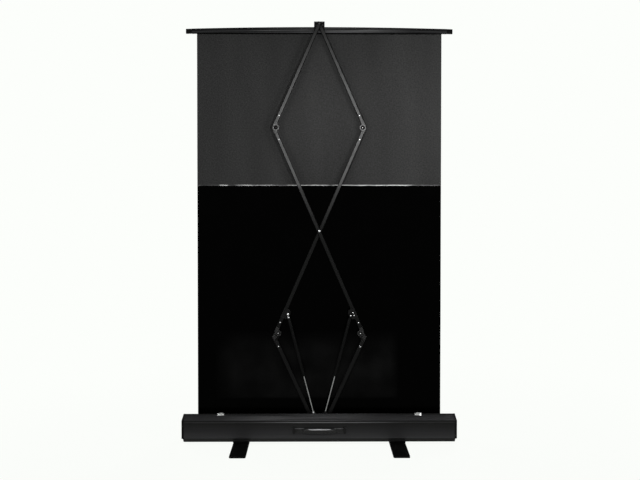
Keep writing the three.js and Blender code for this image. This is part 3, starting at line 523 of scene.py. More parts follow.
def grained_vinyl():
    """The back of screen vinyl: matte dark grey, with a leather grain drawn as 7 mm cells so that
    it shows, faint upright bands of painted sheen, and painted shade that darkens the middle
    against the centre lamp's pool of light."""
    cell, speckle, band, lean, middle_half, side_start = 7.0, 6.5, 150, 0.35, 100, 420
    made, tree, shader = material("grained_vinyl_back", "#343434", {"Specular IOR Level": 0.04})
    place = add(tree, "TexCoord")
    cells = {"Scale": spots(cell), "feature": "SMOOTH_F1"}
    grain = add(tree, "TexVoronoi", cells, {"Vector": (place, "Object")})
    fine = add(tree, "TexNoise", {"Scale": spots(speckle), "Detail": 2.0}, {"Vector": (place, "Object")})
    # Painted sheen: faint upright bands that lean a little
    drawn_up = {"Scale": (1.0, 1.0, 0.22), "Rotation": (0, lean, 0)}
    upright = add(tree, "Mapping", drawn_up, {"Vector": (place, "Object")})
    sheen_bands = add(tree, "TexNoise", {"Scale": spots(band), "Detail": 1.0}, {"Vector": upright})
    blend = add(tree, "MapRange", {"From Min": 0.3, "From Max": 0.7}, {"Value": sheen_bands})
    greys = {"data_type": "RGBA", 6: linear("#343434"), 7: linear("#3b3b3b")}
    broad = add(tree, "Mix", greys, {0: blend})
    specks = {"From Min": 0.25, "From Max": 0.75, "To Min": 0.7, "To Max": 1.3}
    speck = add(tree, "MapRange", specks, {"Value": fine})
    spot = add(tree, "SeparateXYZ", (), {0: (place, "Object")})
    # Painted shade: darker in the middle and lighter towards the sides
    off = add(tree, "Math", {"operation": "ABSOLUTE"}, {0: (spot, "X")})
    lighter = {"From Min": middle_half * MM, "From Max": side_start * MM, "To Min": 0.88, "To Max": 1.05}
    sides = add(tree, "MapRange", lighter, {"Value": off})
    tone = add(tree, "Math", {"operation": "MULTIPLY"}, {0: speck, 1: sides})
    colour = add(tree, "VectorMath", {"operation": "SCALE"}, {0: (broad, 2), "Scale": tone})
    low = add(tree, "Bump", {"Distance": 0.12 * MM}, {"Height": fine})
    relief = add(tree, "Bump", {"Distance": 0.25 * MM}, {"Height": grain, "Normal": low})
    roughness = add(tree, "MapRange", {"To Min": 0.62, "To Max": 0.85}, {"Value": fine})
    feed(tree, shader, {"Base Color": colour, "Roughness": roughness, "Normal": relief})
    return made


def faded(start, end):
    """A range's settings, from 0 at one place in millimetres to 1 at another."""
    return {"From Min": start * MM, "From Max": end * MM}


def glossy_vinyl():
    """Calendered black vinyl: glossy and almost black, with slow waves, and a painted patch of light
    in a fine grain at mid width from the lower elbows down to a line above the case."""
    made, tree, shader = material("glossy_black_vinyl", "#010101", {"Specular IOR Level": 0.012})
    place = add(tree, "TexCoord")
    waves = add(tree, "TexNoise", {"Scale": spots(130), "Detail": 1.0}, {"Vector": (place, "Object")})
    patch_grain = add(tree, "TexNoise", {"Scale": spots(5), "Detail": 4.0}, {"Vector": (place, "Object")})
    spot = add(tree, "SeparateXYZ", (), {0: (place, "Object")})
    # A painted patch of light: from the lower elbows down to a line above the case, at mid width, in a fine
    # grain
    rise = add(tree, "MapRange", faded(200, 212), {"Value": (spot, "Z")})
    fall = add(tree, "MapRange", faded(530, 420), {"Value": (spot, "Z")})
    level = add(tree, "Math", {"operation": "MULTIPLY"}, {0: rise, 1: fall})
    left = add(tree, "MapRange", faded(-500, -400), {"Value": (spot, "X")})
    right = add(tree, "MapRange", faded(380, 340), {"Value": (spot, "X")})
    sides = add(tree, "Math", {"operation": "MULTIPLY"}, {0: left, 1: right})
    band = add(tree, "Math", {"operation": "MULTIPLY"}, {0: level, 1: sides})
    patch = add(tree, "MapRange", {"From Min": 0.3, "From Max": 0.7, "To Min": 0.3}, {"Value": waves})
    light_patch = add(tree, "Math", {"operation": "MULTIPLY"}, {0: band, 1: patch})
    thick = add(tree, "MapRange", {"From Min": 0.3, "From Max": 0.8, "To Min": 0.6}, {"Value": patch_grain})
    amount = add(tree, "Math", {"operation": "MULTIPLY"}, {0: light_patch, 1: thick})
    blacks = {"data_type": "RGBA", 6: linear("#000000"), 7: linear("#101010")}
    colour = add(tree, "Mix", blacks, {0: amount})
    gloss = {"From Min": 0.3, "From Max": 0.7, "To Min": 0.2, "To Max": 0.34}
    roughness = add(tree, "MapRange", gloss, {"Value": waves})
    relief = add(tree, "Bump", {"Distance": 0.6 * MM}, {"Height": waves})
    feed(tree, shader, {"Base Color": (colour, 2), "Roughness": roughness, "Normal": relief})
    return made


def weld_tape():
    """Milky tape over the welded seam: patchy, faint towards both edges of the fabric, with one
    clear spot near its left edge."""
    clear_at, clear_half, clear_edge = -455, 15, 24
    matte = {"Specular IOR Level": 0.1, "Roughness": 0.5}
    made, tree, shader = material("milky_weld_tape", "#8a8a8a", matte)
    place = add(tree, "TexCoord")
    spot = add(tree, "SeparateXYZ", (), {0: (place, "Object")})
    left = add(tree, "MapRange", {**faded(-405, -385), "To Min": 0.12}, {"Value": (spot, "X")})
    right = add(tree, "MapRange", {**faded(470, 440), "To Min": 0.16}, {"Value": (spot, "X")})
    centre = add(tree, "Math", {"operation": "MULTIPLY"}, {0: left, 1: right})
    shifted = add(tree, "Math", {"operation": "SUBTRACT", 1: clear_at * MM}, {0: (spot, "X")})
    off = add(tree, "Math", {"operation": "ABSOLUTE"}, {0: shifted})
    clear = add(tree, "MapRange", faded(clear_edge, clear_half), {"Value": off})
    stretched = add(tree, "Mapping", {"Scale": (0.22, 1.0, 1.0)}, {"Vector": (place, "Object")})
    clouds = add(tree, "TexNoise", {"Scale": spots(16), "Detail": 3.0}, {"Vector": stretched})
    patches = add(tree, "MapRange", {"From Min": 0.36, "From Max": 0.64, "To Min": 0.1}, {"Value": clouds})
    patchy = add(tree, "Math", {"operation": "MULTIPLY"}, {0: patches, 1: centre})
    amount = add(tree, "Math", {"operation": "MAXIMUM"}, {0: patchy, 1: clear})
    greys = {"data_type": "RGBA", 6: linear("#343434"), 7: linear("#d8d8d8")}
    colour = add(tree, "Mix", greys, {0: amount})
    ripples = add(tree, "TexNoise", {"Scale": spots(3), "Detail": 2.0}, {"Vector": (place, "Object")})
    relief = add(tree, "Bump", {"Distance": 0.2 * MM}, {"Height": ripples})
    feed(tree, shader, {"Base Color": (colour, 2), "Normal": relief})
    return made


def even(code):
    """One tone at every height."""
    return [(0.0, code), (2000.0, code)]


# Tones by height: painted light and shade along the arms, lit where the lamps fall and darker
# below and above, and painted reflection and shade up the case
ARM_TONES = [(0.0, "#080808"), (640.0, "#0b0b0b"), (960.0, "#131313"), (1060.0, "#222222"),
             (1205.0, "#3c3c3c"), (1225.0, "#585858"), (1500.0, "#606060"), (1720.0, "#565656"),
             (1900.0, "#3c3c3c"), (2000.0, "#242424")]
CASE_TONES = [(CASE_BOTTOM, "#1c1c1c"), (32.0, "#1e1e1e"), (33.0, "#2f2f30"), (50.0, "#282829"),
              (68.0, "#212122"), (92.0, "#181818"), (115.8, "#161616"), (116.2, "#1e1e1f"),
              (128.0, "#1c1c1d"), (137.0, "#131314"), (CASE_TOP, "#0e0e0e")]

# Aluminium extrusions: anodised satin black with fine die lines, and the roller left bright. They
# carry painted light: highlights in streaks about a place along each, painted reflection and shade
# by height on the case, lighter bead and bar face, and near-black painted shade in the grooves, on
# the bar's top and at the slot's lip
CASE_BLACK = Finish(anodised("black_anodised_case", CASE_TONES, "#3a3a3b", -100, FACE_TOP, CASE_TOP),
                    "case_aluminium")
CASE_SHEEN = Finish(anodised("painted_highlight_bead", even("#292929"), "#565657", 20), "case_aluminium")
SLOT_LIP_SHADE = Finish(anodised("painted_shade_slot_lip", even("#080808"), "#242425", 0), "case_aluminium")
BAR_BLACK = Finish(anodised("black_anodised_bar", even("#1a1a1b"), "#5a5a5b", 60), "case_aluminium")
BAR_SHEEN = Finish(anodised("painted_highlight_bar_face", even("#2a2a2b"), "#7a7a7b", 40), "case_aluminium")
# Near-black painted shade for the case's grooves, the bar's groove and eased top, and the batten's lower
# strip
SHADE_BLACK = Finish(moulded("painted_shade_black", "#060606", "#0a0a0a", 0.7, 0.02), "case_aluminium")
BATTEN_GREY = Finish(anodised("dark_anodised_batten", even("#303031"), "#48484a", 0), "batten_aluminium")
ROLLER_METAL = Finish(plated("mill_finish_aluminium", "#8e8e90", "#b4b4b6", 0.4), "roller_aluminium")

# Moulded ABS and rubber: matte black, with a painted highlight on a ridge along the grip and on
# the straps' top edges
CAP_BLACK = Finish(moulded("moulded_abs_caps", "#0a0a0a", "#141414", 0.5, 0.05), "moulded_black")
HANDLE_CAP = Finish(moulded("moulded_handle_caps", "#141414", "#1b1b1b", 0.5, 0.05), "moulded_black")
GRIP = Finish(moulded("moulded_rubber_grip", "#121212", "#1c1c1c", 0.32, 0.14, 1.2), "grip_rubber")
GRIP_SHINE = Finish(moulded("painted_highlight_grip_ridge", "#88888a", "#a0a0a2", 0.3, 0.15, 4.0), "grip_rubber")
STRAP_HIGHLIGHT = Finish(moulded("painted_highlight_strap_edge", "#3a3a3b", "#4c4c4d", 0.4, 0.1, 4.0), "grip_rubber")

# Painted and powder coated steel: black with a low gloss that shows its soft bumps, and a grey
# steel for the bracket's lips and as painted shade on two pin crowns
FOOT_BLACK = Finish(powder_coat("powder_coated_feet", "#030303", "#070707", 0.5, 0.03), "foot_bar")
STEEL_BLACK = Finish(powder_coat("black_painted_steel", "#0c0c0c", "#151515", 0.42, 0.05), "black_steel")
STRUT_BLACK = Finish(powder_coat("black_strut_paint", "#060606", "#0b0b0b", 0.42, 0.04), "black_steel")
STEEL_GREY = Finish(powder_coat("grey_steel_and_painted_shade", "#404040", "#565656", 0.4, 0.1), "black_steel")

# Plated steel: bright, seen as small sharp glints on the black
ZINC = Finish(plated("zinc_plated_steel", "#b2b2b4", "#d6d6d7"), "bright_steel")
ROD_CHROME = Finish(plated("hard_chrome_rod", "#686868", "#8c8c8c", 0.14), "bright_steel")
CHROME = Finish(plated("chrome_plate", "#848484", "#b0b0b0", 0.12), "chrome_plate")

# The frame's satin coat: painted light and shade by height on its faces, black on its turned
# edges and one flat dark grey on the lower elbows' knuckles, with a painted highlight on the upper
# knuckles' rims and painted shade on the lower ones
ARM_COAT = Finish(satin_arms(), "arm_tube")
ARM_EDGE = Finish(powder_coat("black_coated_arm_edges", "#080808", "#101010", 0.45, 0.03), "arm_tube")
KNUCKLE_COAT = Finish(ARM_COAT.material, "knuckle")
KNUCKLE_DARK_GREY = Finish(powder_coat("dark_grey_knuckle_coat", "#1e1e1e", "#2a2a2a", 0.45, 0.05), "knuckle")
RIM_HIGHLIGHT = Finish(powder_coat("painted_highlight_knuckle_rim", "#787878", "#949494", 0.4, 0.1), "knuckle")
RIM_SHADE = Finish(powder_coat("painted_shade_knuckle_rim", "#222222", "#303030", 0.4, 0.1), "knuckle")

# Coated vinyl: a grained grey back, a glossy black drop, and a dead matte front
SHEET_BACK = Finish(grained_vinyl(), "sheet_back")
DROP_BLACK = Finish(glossy_vinyl(), "drop_back")
VIEW_WHITE = Finish(moulded("matte_white_viewing_coat", "#d8d8d6", "#dadad8", 0.9, 0.1, 1.4), "sheet_back")
MASK_BLACK = Finish(moulded("matte_black_masking", "#0c0c0c", "#0f0f0f", 0.9, 0.05, 1.4), "drop_back")
TAPE = Finish(weld_tape(), "sheet_back")


# The case
def case_profile(side):
    """One half of the case's section from the base seam up to its slot lip, seen from one end.

    side is -1 for the rear shell, whose face has a bead between two grooves, and 1 for the
    front cover, which is lower and slants up to its lip."""
    score, score_end, groove_deep, bead_proud, lip_ease = 0.9, 1.8, 0.8, 0.7, 0.6
    slope_shares, slope_groove, slope_deep = (0.3, 0.56, 0.8), 1.6, 0.6
    back, slope_in = side * CASE_BACK, side * (CASE_BACK - SLOPE_DEPTH)
    drop = COVER_DROP if side > 0 else 0
    face, top, lip = FACE_TOP - drop, CASE_TOP - drop, REAR_LIP
    lip_top = CASE_TOP
    if side > 0:
        lip = FRONT_LIP
        lip_top = CASE_TOP - drop * (FRONT_LIP - REAR_LIP) / (slope_in - REAR_LIP)
    seam = COVER_SEAM + (FIT if side > 0 else 0)
    plain = [(seam, CASE_BOTTOM), (back - side * CHAMFER_DEPTH, CASE_BOTTOM)]
    plain += [(back, CHAMFER_TOP), (back, face)]
    plain += [(slope_in, top)] + ([(lip, lip_top)] if side > 0 else []) + [(lip, lip_top - LIP_DROP)]
    scored = back - side * score
    path = plain[:2] + [(scored, CHAMFER_TOP - score), (scored, CHAMFER_TOP + score)]
    path.append((back, CHAMFER_TOP + score_end))
    if side < 0:
        for low, high, proud in ((BEAD_LOW - GROOVE, BEAD_LOW, -groove_deep),
                                 (BEAD_LOW, BEAD_TOP, bead_proud),
                                 (FACE_TOP - GROOVE, FACE_TOP, -groove_deep)):
            ease = 0.2 if proud < 0 else 0.5
            path += [(back, low), (back - proud, low + ease), (back - proud, high - ease), (back, high)]
    else:
        path.append((back, face))
    path += notched(path[-1], (slope_in, top), slope_shares, slope_groove, slope_deep * side)[1:]
    if side > 0:
        path += [(lip + lip_ease, lip_top), (lip, lip_top - lip_ease)]
    else:
        path[-1] = (lip - lip_ease, top - 0.7)
        path.append((lip, top - lip_ease))
    path.append((lip, lip_top - LIP_DROP))
    return path + moved_left(plain, side * CASE_WALL, closed=False)[::-1]


def make_case():
    """The two extrusions with their bead, grooves and slot lips, the caps at their ends, and the
    bearings and foot mounts."""
    # Painted highlight along the bead, and painted shade in the grooves and on the top of the slope by the
    # slot's lip
    on_bead = lambda p: BEAD_LOW < p.z < BEAD_TOP and p.y < -CASE_BACK - 0.1
    on_lip = lambda p: p.y < REAR_LIP + 1 and p.z > CASE_TOP - 5.2 and p.y > -CASE_BACK + 19
    in_groove = lambda p: -CASE_BACK + 0.1 < p.y < -CASE_BACK + 1 and BEAD_LOW - GROOVE < p.z < FACE_TOP
    accents = [(CASE_SHEEN, on_bead), (SHADE_BLACK, in_groove), (SLOT_LIP_SHADE, on_lip)]
    screw_places, cap_thick = ((-40, 92), (40, 92), (0, 44)), 11
    for side, name in ((-1, "case_rear_shell"), (1, "case_front_cover")):
        solid = prism([case_profile(side)], -CASE_HALF, CASE_HALF, 0.25, along_case, 24)
        shape(name + "_extrusion", [solid], CASE_BLACK, "root", name, accents=accents)
    for side, sign in SIDES.items():
        dress("end_cap_" + side, CAP_BLACK, 1.6)
        dress("roller_bearing_" + side, CAP_BLACK, 0.8)
        dress("foot_mount_" + side, CAP_BLACK, 1.0)
        dress("foot_bolt_" + side, ZINC, 0.3)
        heads = [screw((sign * (CASE_HALF + cap_thick), y, z), (sign, 0, 0)) for y, z in screw_places]
        shape("end_cap_screws_" + side, heads, STEEL_BLACK, "root")


def screw(place, direction):
    """A pan-head screw with a cross recess."""
    bar, slot_half, radius, floor_radius, height, floor_height = 2.1, 0.45, 3.8, 3.2, 1.8, 0.5
    half = [(slot_half, bar), (-slot_half, bar), (-slot_half, slot_half)]
    half += [(-bar, slot_half), (-bar, -slot_half), (-slot_half, -slot_half)]
    cross = half + [(-u, -v) for u, v in half]
    turn = Vector((0, 0, 1)).rotation_difference(Vector(direction)).to_matrix()
    put = lambda u, v, w: tuple(Vector(place) + turn @ Vector((u, v, w)))
    points, faces = prism([circle(0, 0, radius, 28), cross], 0, height, 0.4, put)
    floor_points, floor_faces = prism([circle(0, 0, floor_radius, 28)], 0, floor_height, 0, put)
    first = len(points)
    return points + floor_points, faces + [tuple(first + i for i in face) for face in floor_faces]


def make_feet():
    """Flat bars with round corners and an eased rim, that swivel out from under the case."""
    for side in SIDES:
        low, high = (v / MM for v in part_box("foot_" + side))
        middle = (low.x + high.x) / 2
        plan = rounded(rectangle(low.x, high.x, low.y, high.y), 9.0, 6)
        bar = prism([plan, circle(middle, 0, PIN_HOLE)], low.z, high.z, 1.6, lying_flat, 1, 3)
        shape("foot_bar_" + side, [bar], FOOT_BLACK, "foot_bar_" + side, "foot_" + side)


def make_handle():
    """A grip that tapers towards its ends, with a ridge along its top that carries a painted
    highlight, and beside each end a strap with raised edges, its top edge a painted highlight."""
    ridge_half, ridge_radius, drop_share = 58, 3.6, 0.1
    grip_low, grip_high = (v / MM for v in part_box("handle_grip"))
    middle = (grip_low.z + grip_high.z) / 2
    sections = []
    count = 40
    for k in range(count + 1):
        t = -1 + 2 * k / count
        x = t * grip_high.x
        end = max(0.0, abs(t) - (1 - drop_share)) / drop_share
        fill = 1 - 0.16 * abs(t) ** 2.2 - 0.34 * end ** 2
        half = (grip_high.z - grip_low.z) / 2 * fill
        depth = (grip_high.y - grip_low.y) * (0.82 + 0.18 * fill) * fill ** 0.5
        rear, front = grip_high.y, grip_high.y - depth
        loop = rounded(rectangle(front, rear, -half, half), 6.0, 5)
        sections.append([(x, y, middle + z) for y, z in loop])
    shape("handle_grip_moulding", [lofted(sections)], GRIP, "handle", "handle_grip")
    # A thin ridge along the grip's top, drawn light as a painted highlight
    ridge = []
    for k in range(25):
        x = -ridge_half + 2 * ridge_half * k / 24
        bend = (x / ridge_half) ** 4
        ridge.append((x, grip_low.y + 3.6 + 3.6 * bend, grip_high.z - 3.4 - 1.2 * bend))
    crown = swept(ridge, ridge_radius, 12)
    shape("handle_grip_highlight_ridge", [crown], GRIP_SHINE, "handle")
    for side in SIDES:
        low, high = (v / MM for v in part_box("handle_strap_" + side))
        y0, y1 = low.y, high.y
        section = [(y1, low.z), (y1, high.z), (y0 + 0.8, high.z), (y0, high.z - 1.0), (y0, high.z - 3.2)]
        section += [(y0 + 0.9, high.z - 4.0), (y0 + 0.9, low.z + 4.0), (y0, low.z + 3.2), (y0, low.z + 1.0)]
        section += [(y0 + 0.8, low.z)]
        blade = prism([section], low.x, high.x, 0.4, along_case)
        # Painted highlight along the strap's top edge
        top_edge = lambda p, z=high.z, y=low.y: z - 3.3 < p.z < z - 0.3 and p.y < y + 0.7
        shape("handle_strap_rubber_" + side, [blade], GRIP, "strap_" + side, "handle_strap_" + side,
              accents=[(STRAP_HIGHLIGHT, top_edge)])
        dress("handle_cap_" + side, HANDLE_CAP, 1.5)


def make_catches():
    """A bright spring clip on each side of the slot's rear edge, with a hook inside."""
    slope = Vector((0, -SLOPE_DEPTH, FACE_TOP - CASE_TOP)).normalized()
    normal = Vector((0, slope.z, -slope.y))
    edge = Vector((0, REAR_LIP, CASE_TOP))
    plate_run, lobe_run, lobe_off, dark_half = 10.5, 4.6, 10.6, 15.4
    leaf_in, leaf_out, leaf_low = REAR_LIP + 0.35, REAR_LIP + 1.4, CASE_TOP - 7.8
    for side in SIDES:
        low, high = (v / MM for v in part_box("catch_plate_" + side))
        middle = (low.x + high.x) / 2
        near = edge + slope * plate_run
        seat = [near + normal * 0.4, edge + normal * 0.4]
        seat += [Vector((0, y, z)) for y, z in ((leaf_in, CASE_TOP + 0.3), (leaf_in, leaf_low),
                                                (leaf_out, leaf_low), (leaf_out, CASE_TOP + 1.5),
                                                (REAR_LIP - 1.0, CASE_TOP + 1.8))]
        seat += [near + normal * 1.5]
        plate = prism([[(p.y, p.z) for p in seat]], low.x, high.x, 0.3, along_case)
        hump = [(middle - 9.5, CASE_TOP + 0.4), (middle + 9.5, CASE_TOP + 0.4)]
        hump += [(middle + 7.5, high.z - 1.6), (middle + 3, high.z)]
        hump += [(middle - 3, high.z), (middle - 7.5, high.z - 1.6)]
        arch = prism([rounded(hump, 2.2, 4)], REAR_LIP - 2.0, leaf_out, 1.0)
        crest = edge + slope * lobe_run + normal * 1.2
        lobes = [lathed(dome(4.6, 3.2), crest + Vector((middle + dx, 0, 0)), normal)
                 for dx in (-lobe_off, lobe_off)]
        inside = lambda p, m=middle: 0 < abs(p.x - m) < dark_half and p.z < CASE_TOP - 6
        shape("catch_clip_" + side, [plate, arch] + lobes, CHROME, "root", "catch_plate_" + side,
              accents=[(STEEL_BLACK, inside)])
        dress("catch_hook_" + side, CHROME, 0.3)


# The fabric
def ripple(x, z):
    """How far the hanging fabric strays from flat, and not at all at its ends."""
    low_end, low_ease, high_end, high_ease = 150, 200, 1937, 150
    held = max(0.0, min(1.0, (z - low_end) / low_ease)) * max(0.0, min(1.0, (high_end - z) / high_ease))
    slow = noise.noise(Vector((x / 260, 0.3, z / 420)))
    fine = noise.noise(Vector((x / 90, 4.7, z / 240)))
    return held * (1.1 * slow + 0.45 * fine)


def spaced(start, end, step, *extra):
    """Numbers from start to end about a step apart, with the extra ones among them."""
    count = max(2, round((end - start) / step))
    return sorted({start + (end - start) * i / count for i in range(count + 1)} | set(extra))


def cloth(name, x_lines, z_lines, finishes, pick):
    """A thin sheet over a grid. Its back is the first finish, and pick names each front one."""
    half = FABRIC_THICK / 2
    columns, rows = len(x_lines), len(z_lines)
    points = [(x * MM, (FABRIC_Y + face + ripple(x, z)) * MM, z * MM)
              for face in (-half, half) for z in z_lines for x in x_lines]
    at = lambda face, row, column: (face * rows + row) * columns + column
    faces, kinds = [], []
    for row in range(rows - 1):
        for column in range(columns - 1):
            quad = [(row, column), (row, column + 1), (row + 1, column + 1), (row + 1, column)]
            faces += [[at(0, *q) for q in quad], [at(1, *q) for q in quad[::-1]]]
            middle_x = (x_lines[column] + x_lines[column + 1]) / 2
            middle_z = (z_lines[row] + z_lines[row + 1]) / 2
            kinds += [0, pick(middle_x, middle_z)]
    rim = [(0, c) for c in range(columns)] + [(r, columns - 1) for r in range(1, rows)]
    rim += [(rows - 1, c) for c in range(columns - 2, -1, -1)] + [(r, 0) for r in range(rows - 2, 0, -1)]
    for a, b in zip(rim, rim[1:] + rim[:1]):
        faces.append([at(0, *b), at(0, *a), at(1, *a), at(1, *b)])
        kinds.append(0)
    mesh = bpy.data.meshes.new(name)
    mesh.from_pydata(points, [], faces)
    for finish in finishes:
        mesh.materials.append(finish.material)
    mesh.polygons.foreach_set("material_index", kinds)
    finish_mesh(mesh, 50)
    piece = bpy.data.objects.new(name, mesh)
    bpy.context.scene.collection.objects.link(piece)
    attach(piece, "root")
    return piece


def seam_strip():
    """Tape over the welded seam, with a ragged lower edge where the weld spread."""
    draw = random.Random(11)
    proud, sunk, tape_top, tape_low = 0.9, 0.05, 5.0, 0.4
    face = FABRIC_Y - FABRIC_THICK / 2
    columns = spaced(-FABRIC_HALF, FABRIC_HALF, 4)
    points, faces = [], []
    rag = 0.0
    for x in columns:
        rag = 0.6 * rag + 0.4 * draw.uniform(-1.6, 1.6)
        y = face + ripple(x, SEAM_Z)
        top = SEAM_Z + tape_top + draw.uniform(-0.2, 0.3)
        bottom = SEAM_Z + tape_low + 1.4 * noise.noise(Vector((x / 70, 2.0, 0))) + rag
        points += [(x, y - depth, z) for depth in (proud, sunk) for z in (bottom, top)]
    for a in range(0, 4 * (len(columns) - 1), 4):
        b = a + 4
        faces += [(a, b, b + 1, a + 1), (a + 2, a + 3, b + 3, b + 2)]
        faces += [(a, a + 2, b + 2, b), (a + 1, b + 1, b + 3, a + 3)]
    end = 4 * (len(columns) - 1)
    faces += [(0, 1, 3, 2), (end, end + 2, end + 3, end + 1)]
    return shape("seam_tape", [(points, faces)], TAPE, "root")


def front_weld():
    """The welded lap on the audience side, which hides the joint of sheet and drop."""
    sunk, proud, half = 0.05, 0.55, 5
    face = FABRIC_Y + FABRIC_THICK / 2
    low, high = SEAM_Z - half, SEAM_Z + half
    sections = []
    for x in spaced(-FABRIC_HALF, FABRIC_HALF, CLOTH_STEP):
        y = face + ripple(x, SEAM_Z)
        sections.append([(x, y + sunk, low), (x, y + proud, low), (x, y + proud, high), (x, y + sunk, high)])
    return shape("front_weld_strip", [lofted(sections)], MASK_BLACK, "root")


def wound_layers():
    """The rest of the drop, wound on the roller in two turns."""
    turns, per_turn, start, pitch, thick = 2, 64, ROLLER_RADIUS + FIT + 0.05, 0.78, 0.7
    inner, outer = [], []
    for k in range(turns * per_turn + 1):
        a = -2 * math.pi * k / per_turn + math.pi
        r = start + pitch * k / per_turn
        inner.append((ROLLER_Y + r * math.cos(a), ROLLER_Z + r * math.sin(a)))
        outer.append((ROLLER_Y + (r + thick) * math.cos(a), ROLLER_Z + (r + thick) * math.sin(a)))
    roll = prism([inner + outer[::-1]], -FABRIC_HALF, FABRIC_HALF, 0, along_case)
    piece = shape("wound_drop", [roll], DROP_BLACK, "roller", "fabric_wrap")


def make_fabric():
    """The viewing sheet with its black borders, the black drop, the strips at their seam, and the
    layers that stay on the roller."""
    border, view_height = 26.5, 622.0
    low, high = (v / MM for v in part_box("viewing_sheet"))
    view_top = high.z - (high.z - low.z - view_height) / 2
    view_low = view_top - view_height
    x_lines = spaced(-FABRIC_HALF, FABRIC_HALF, CLOTH_STEP, border - FABRIC_HALF, FABRIC_HALF - border)
    in_view = lambda x, z: abs(x) < FABRIC_HALF - border and view_low < z < view_top
    sheet = cloth("screen_sheet", x_lines, spaced(low.z, high.z, CLOTH_STEP, view_low, view_top),
                  (SHEET_BACK, VIEW_WHITE, MASK_BLACK), lambda x, z: 1 if in_view(x, z) else 2)
    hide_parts("viewing_sheet")
    drop_low, drop_high = (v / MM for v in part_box("black_drop"))
    drop = cloth("black_drop_cloth", x_lines, spaced(drop_low.z, drop_high.z, CLOTH_STEP),
                 (DROP_BLACK, MASK_BLACK), lambda x, z: 1)
    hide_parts("black_drop")
    tape, weld = seam_strip(), front_weld()
    for piece in (sheet, drop, tape, weld):
        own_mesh(piece)
    wound_layers()


def make_roller():
    """The tube that the drop winds on, and the spring on its shaft."""
    wall, shaft_radius, shaft_ease = 1.5, 5, 0.5
    coils, per_coil, run, coil_radius, wire = 44, 12, 440, 12, 1.25
    rim, bore = (circle(ROLLER_Y, ROLLER_Z, r, 48) for r in (ROLLER_RADIUS, ROLLER_RADIUS - wall))
    drawn = prism([rim, bore], -ROLLER_HALF, ROLLER_HALF, 0.3, along_case)
    shape("roller_tube_drawn", [drawn], ROLLER_METAL, "roller", "roller_tube")
    low, high = (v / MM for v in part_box("return_spring"))
    length, start = high.x - low.x, low.x + 16
    profile = [(0, 0), (0, 4.6), (shaft_ease, shaft_radius), (length - shaft_ease, shaft_radius)]
    shaft = lathed(profile + [(length, 4.6), (length, 0)], (low.x, ROLLER_Y, ROLLER_Z), (1, 0, 0))
    path = []
    for k in range(coils * per_coil + 1):
        a = 2 * math.pi * k / per_coil
        x = start + run * k / (coils * per_coil)
        path.append((x, ROLLER_Y + coil_radius * math.cos(a), ROLLER_Z + coil_radius * math.sin(a)))
    shape("return_spring_coil", [shaft, swept(path, wire, 6)], STEEL_BLACK, "root", "return_spring")


# The scissor frame
def arm_of(body, layer, first, second, first_offset, second_offset):
    """An arm between two pivots, its axis the offsets outwards of them."""
    first, second = Vector(first), Vector(second)
    span = second - first
    shift = first_offset - second_offset
    lean = math.atan2(span.x, span.y) - math.asin(shift / span.length)
    end = Vector((shift, math.sqrt(span.length_squared - shift ** 2)))
    return Arm(body, layer, first, lean, first_offset, end)


def flat(place):
    """A place as it is seen from behind."""
    return Vector((place.x, place.z))


def eye_outline(pivot, offset, reach, along, knee=False):
    """A knuckle's face: a round eye at the pivot running into a body beside it.

    offset is how far the arm's axis lies from the pivot, and along is 1 where the arm runs up
    from the pivot."""
    sign = 1 if offset >= 0 else -1
    inner, outer = abs(offset) - ARM_WIDTH / 2, abs(offset) + ARM_WIDTH / 2
    corner = Vector((outer, 3.0))
    tilt = math.degrees(math.atan2(corner.y, corner.x) - math.acos(EYE / corner.length))
    if knee:
        rise = math.degrees(math.atan2(reach, inner) + math.acos(EYE / math.hypot(inner, reach)))
        loop = arc(0, 0, EYE, min(rise, 125), 360 + tilt, 32)
    else:
        loop = arc(0, 0, EYE, math.degrees(math.acos(inner / EYE)), 360 + tilt, 32)
    loop += [tuple(corner), (outer, reach), (inner, reach)]
    return [(pivot.x + sign * u, pivot.y + along * v) for u, v in loop]


def block_outline(pivot, offset, reach, along, start):
    """The full-depth part of a knuckle, clear of the other half's round eye."""
    sign = 1 if offset >= 0 else -1
    inner, outer = abs(offset) - ARM_WIDTH / 2, abs(offset) + ARM_WIDTH / 2
    clear = EYE + 0.7
    if start > 0:
        loop = [(inner, start), (outer, start), (outer, reach), (inner, reach)]
    else:
        loop = [(clear, 0), (outer, 0), (outer, reach), (inner, reach)]
        loop += arc(0, 0, clear, 88, 4, 10)
    return [(pivot.x + sign * u, pivot.y + along * v) for u, v in loop]


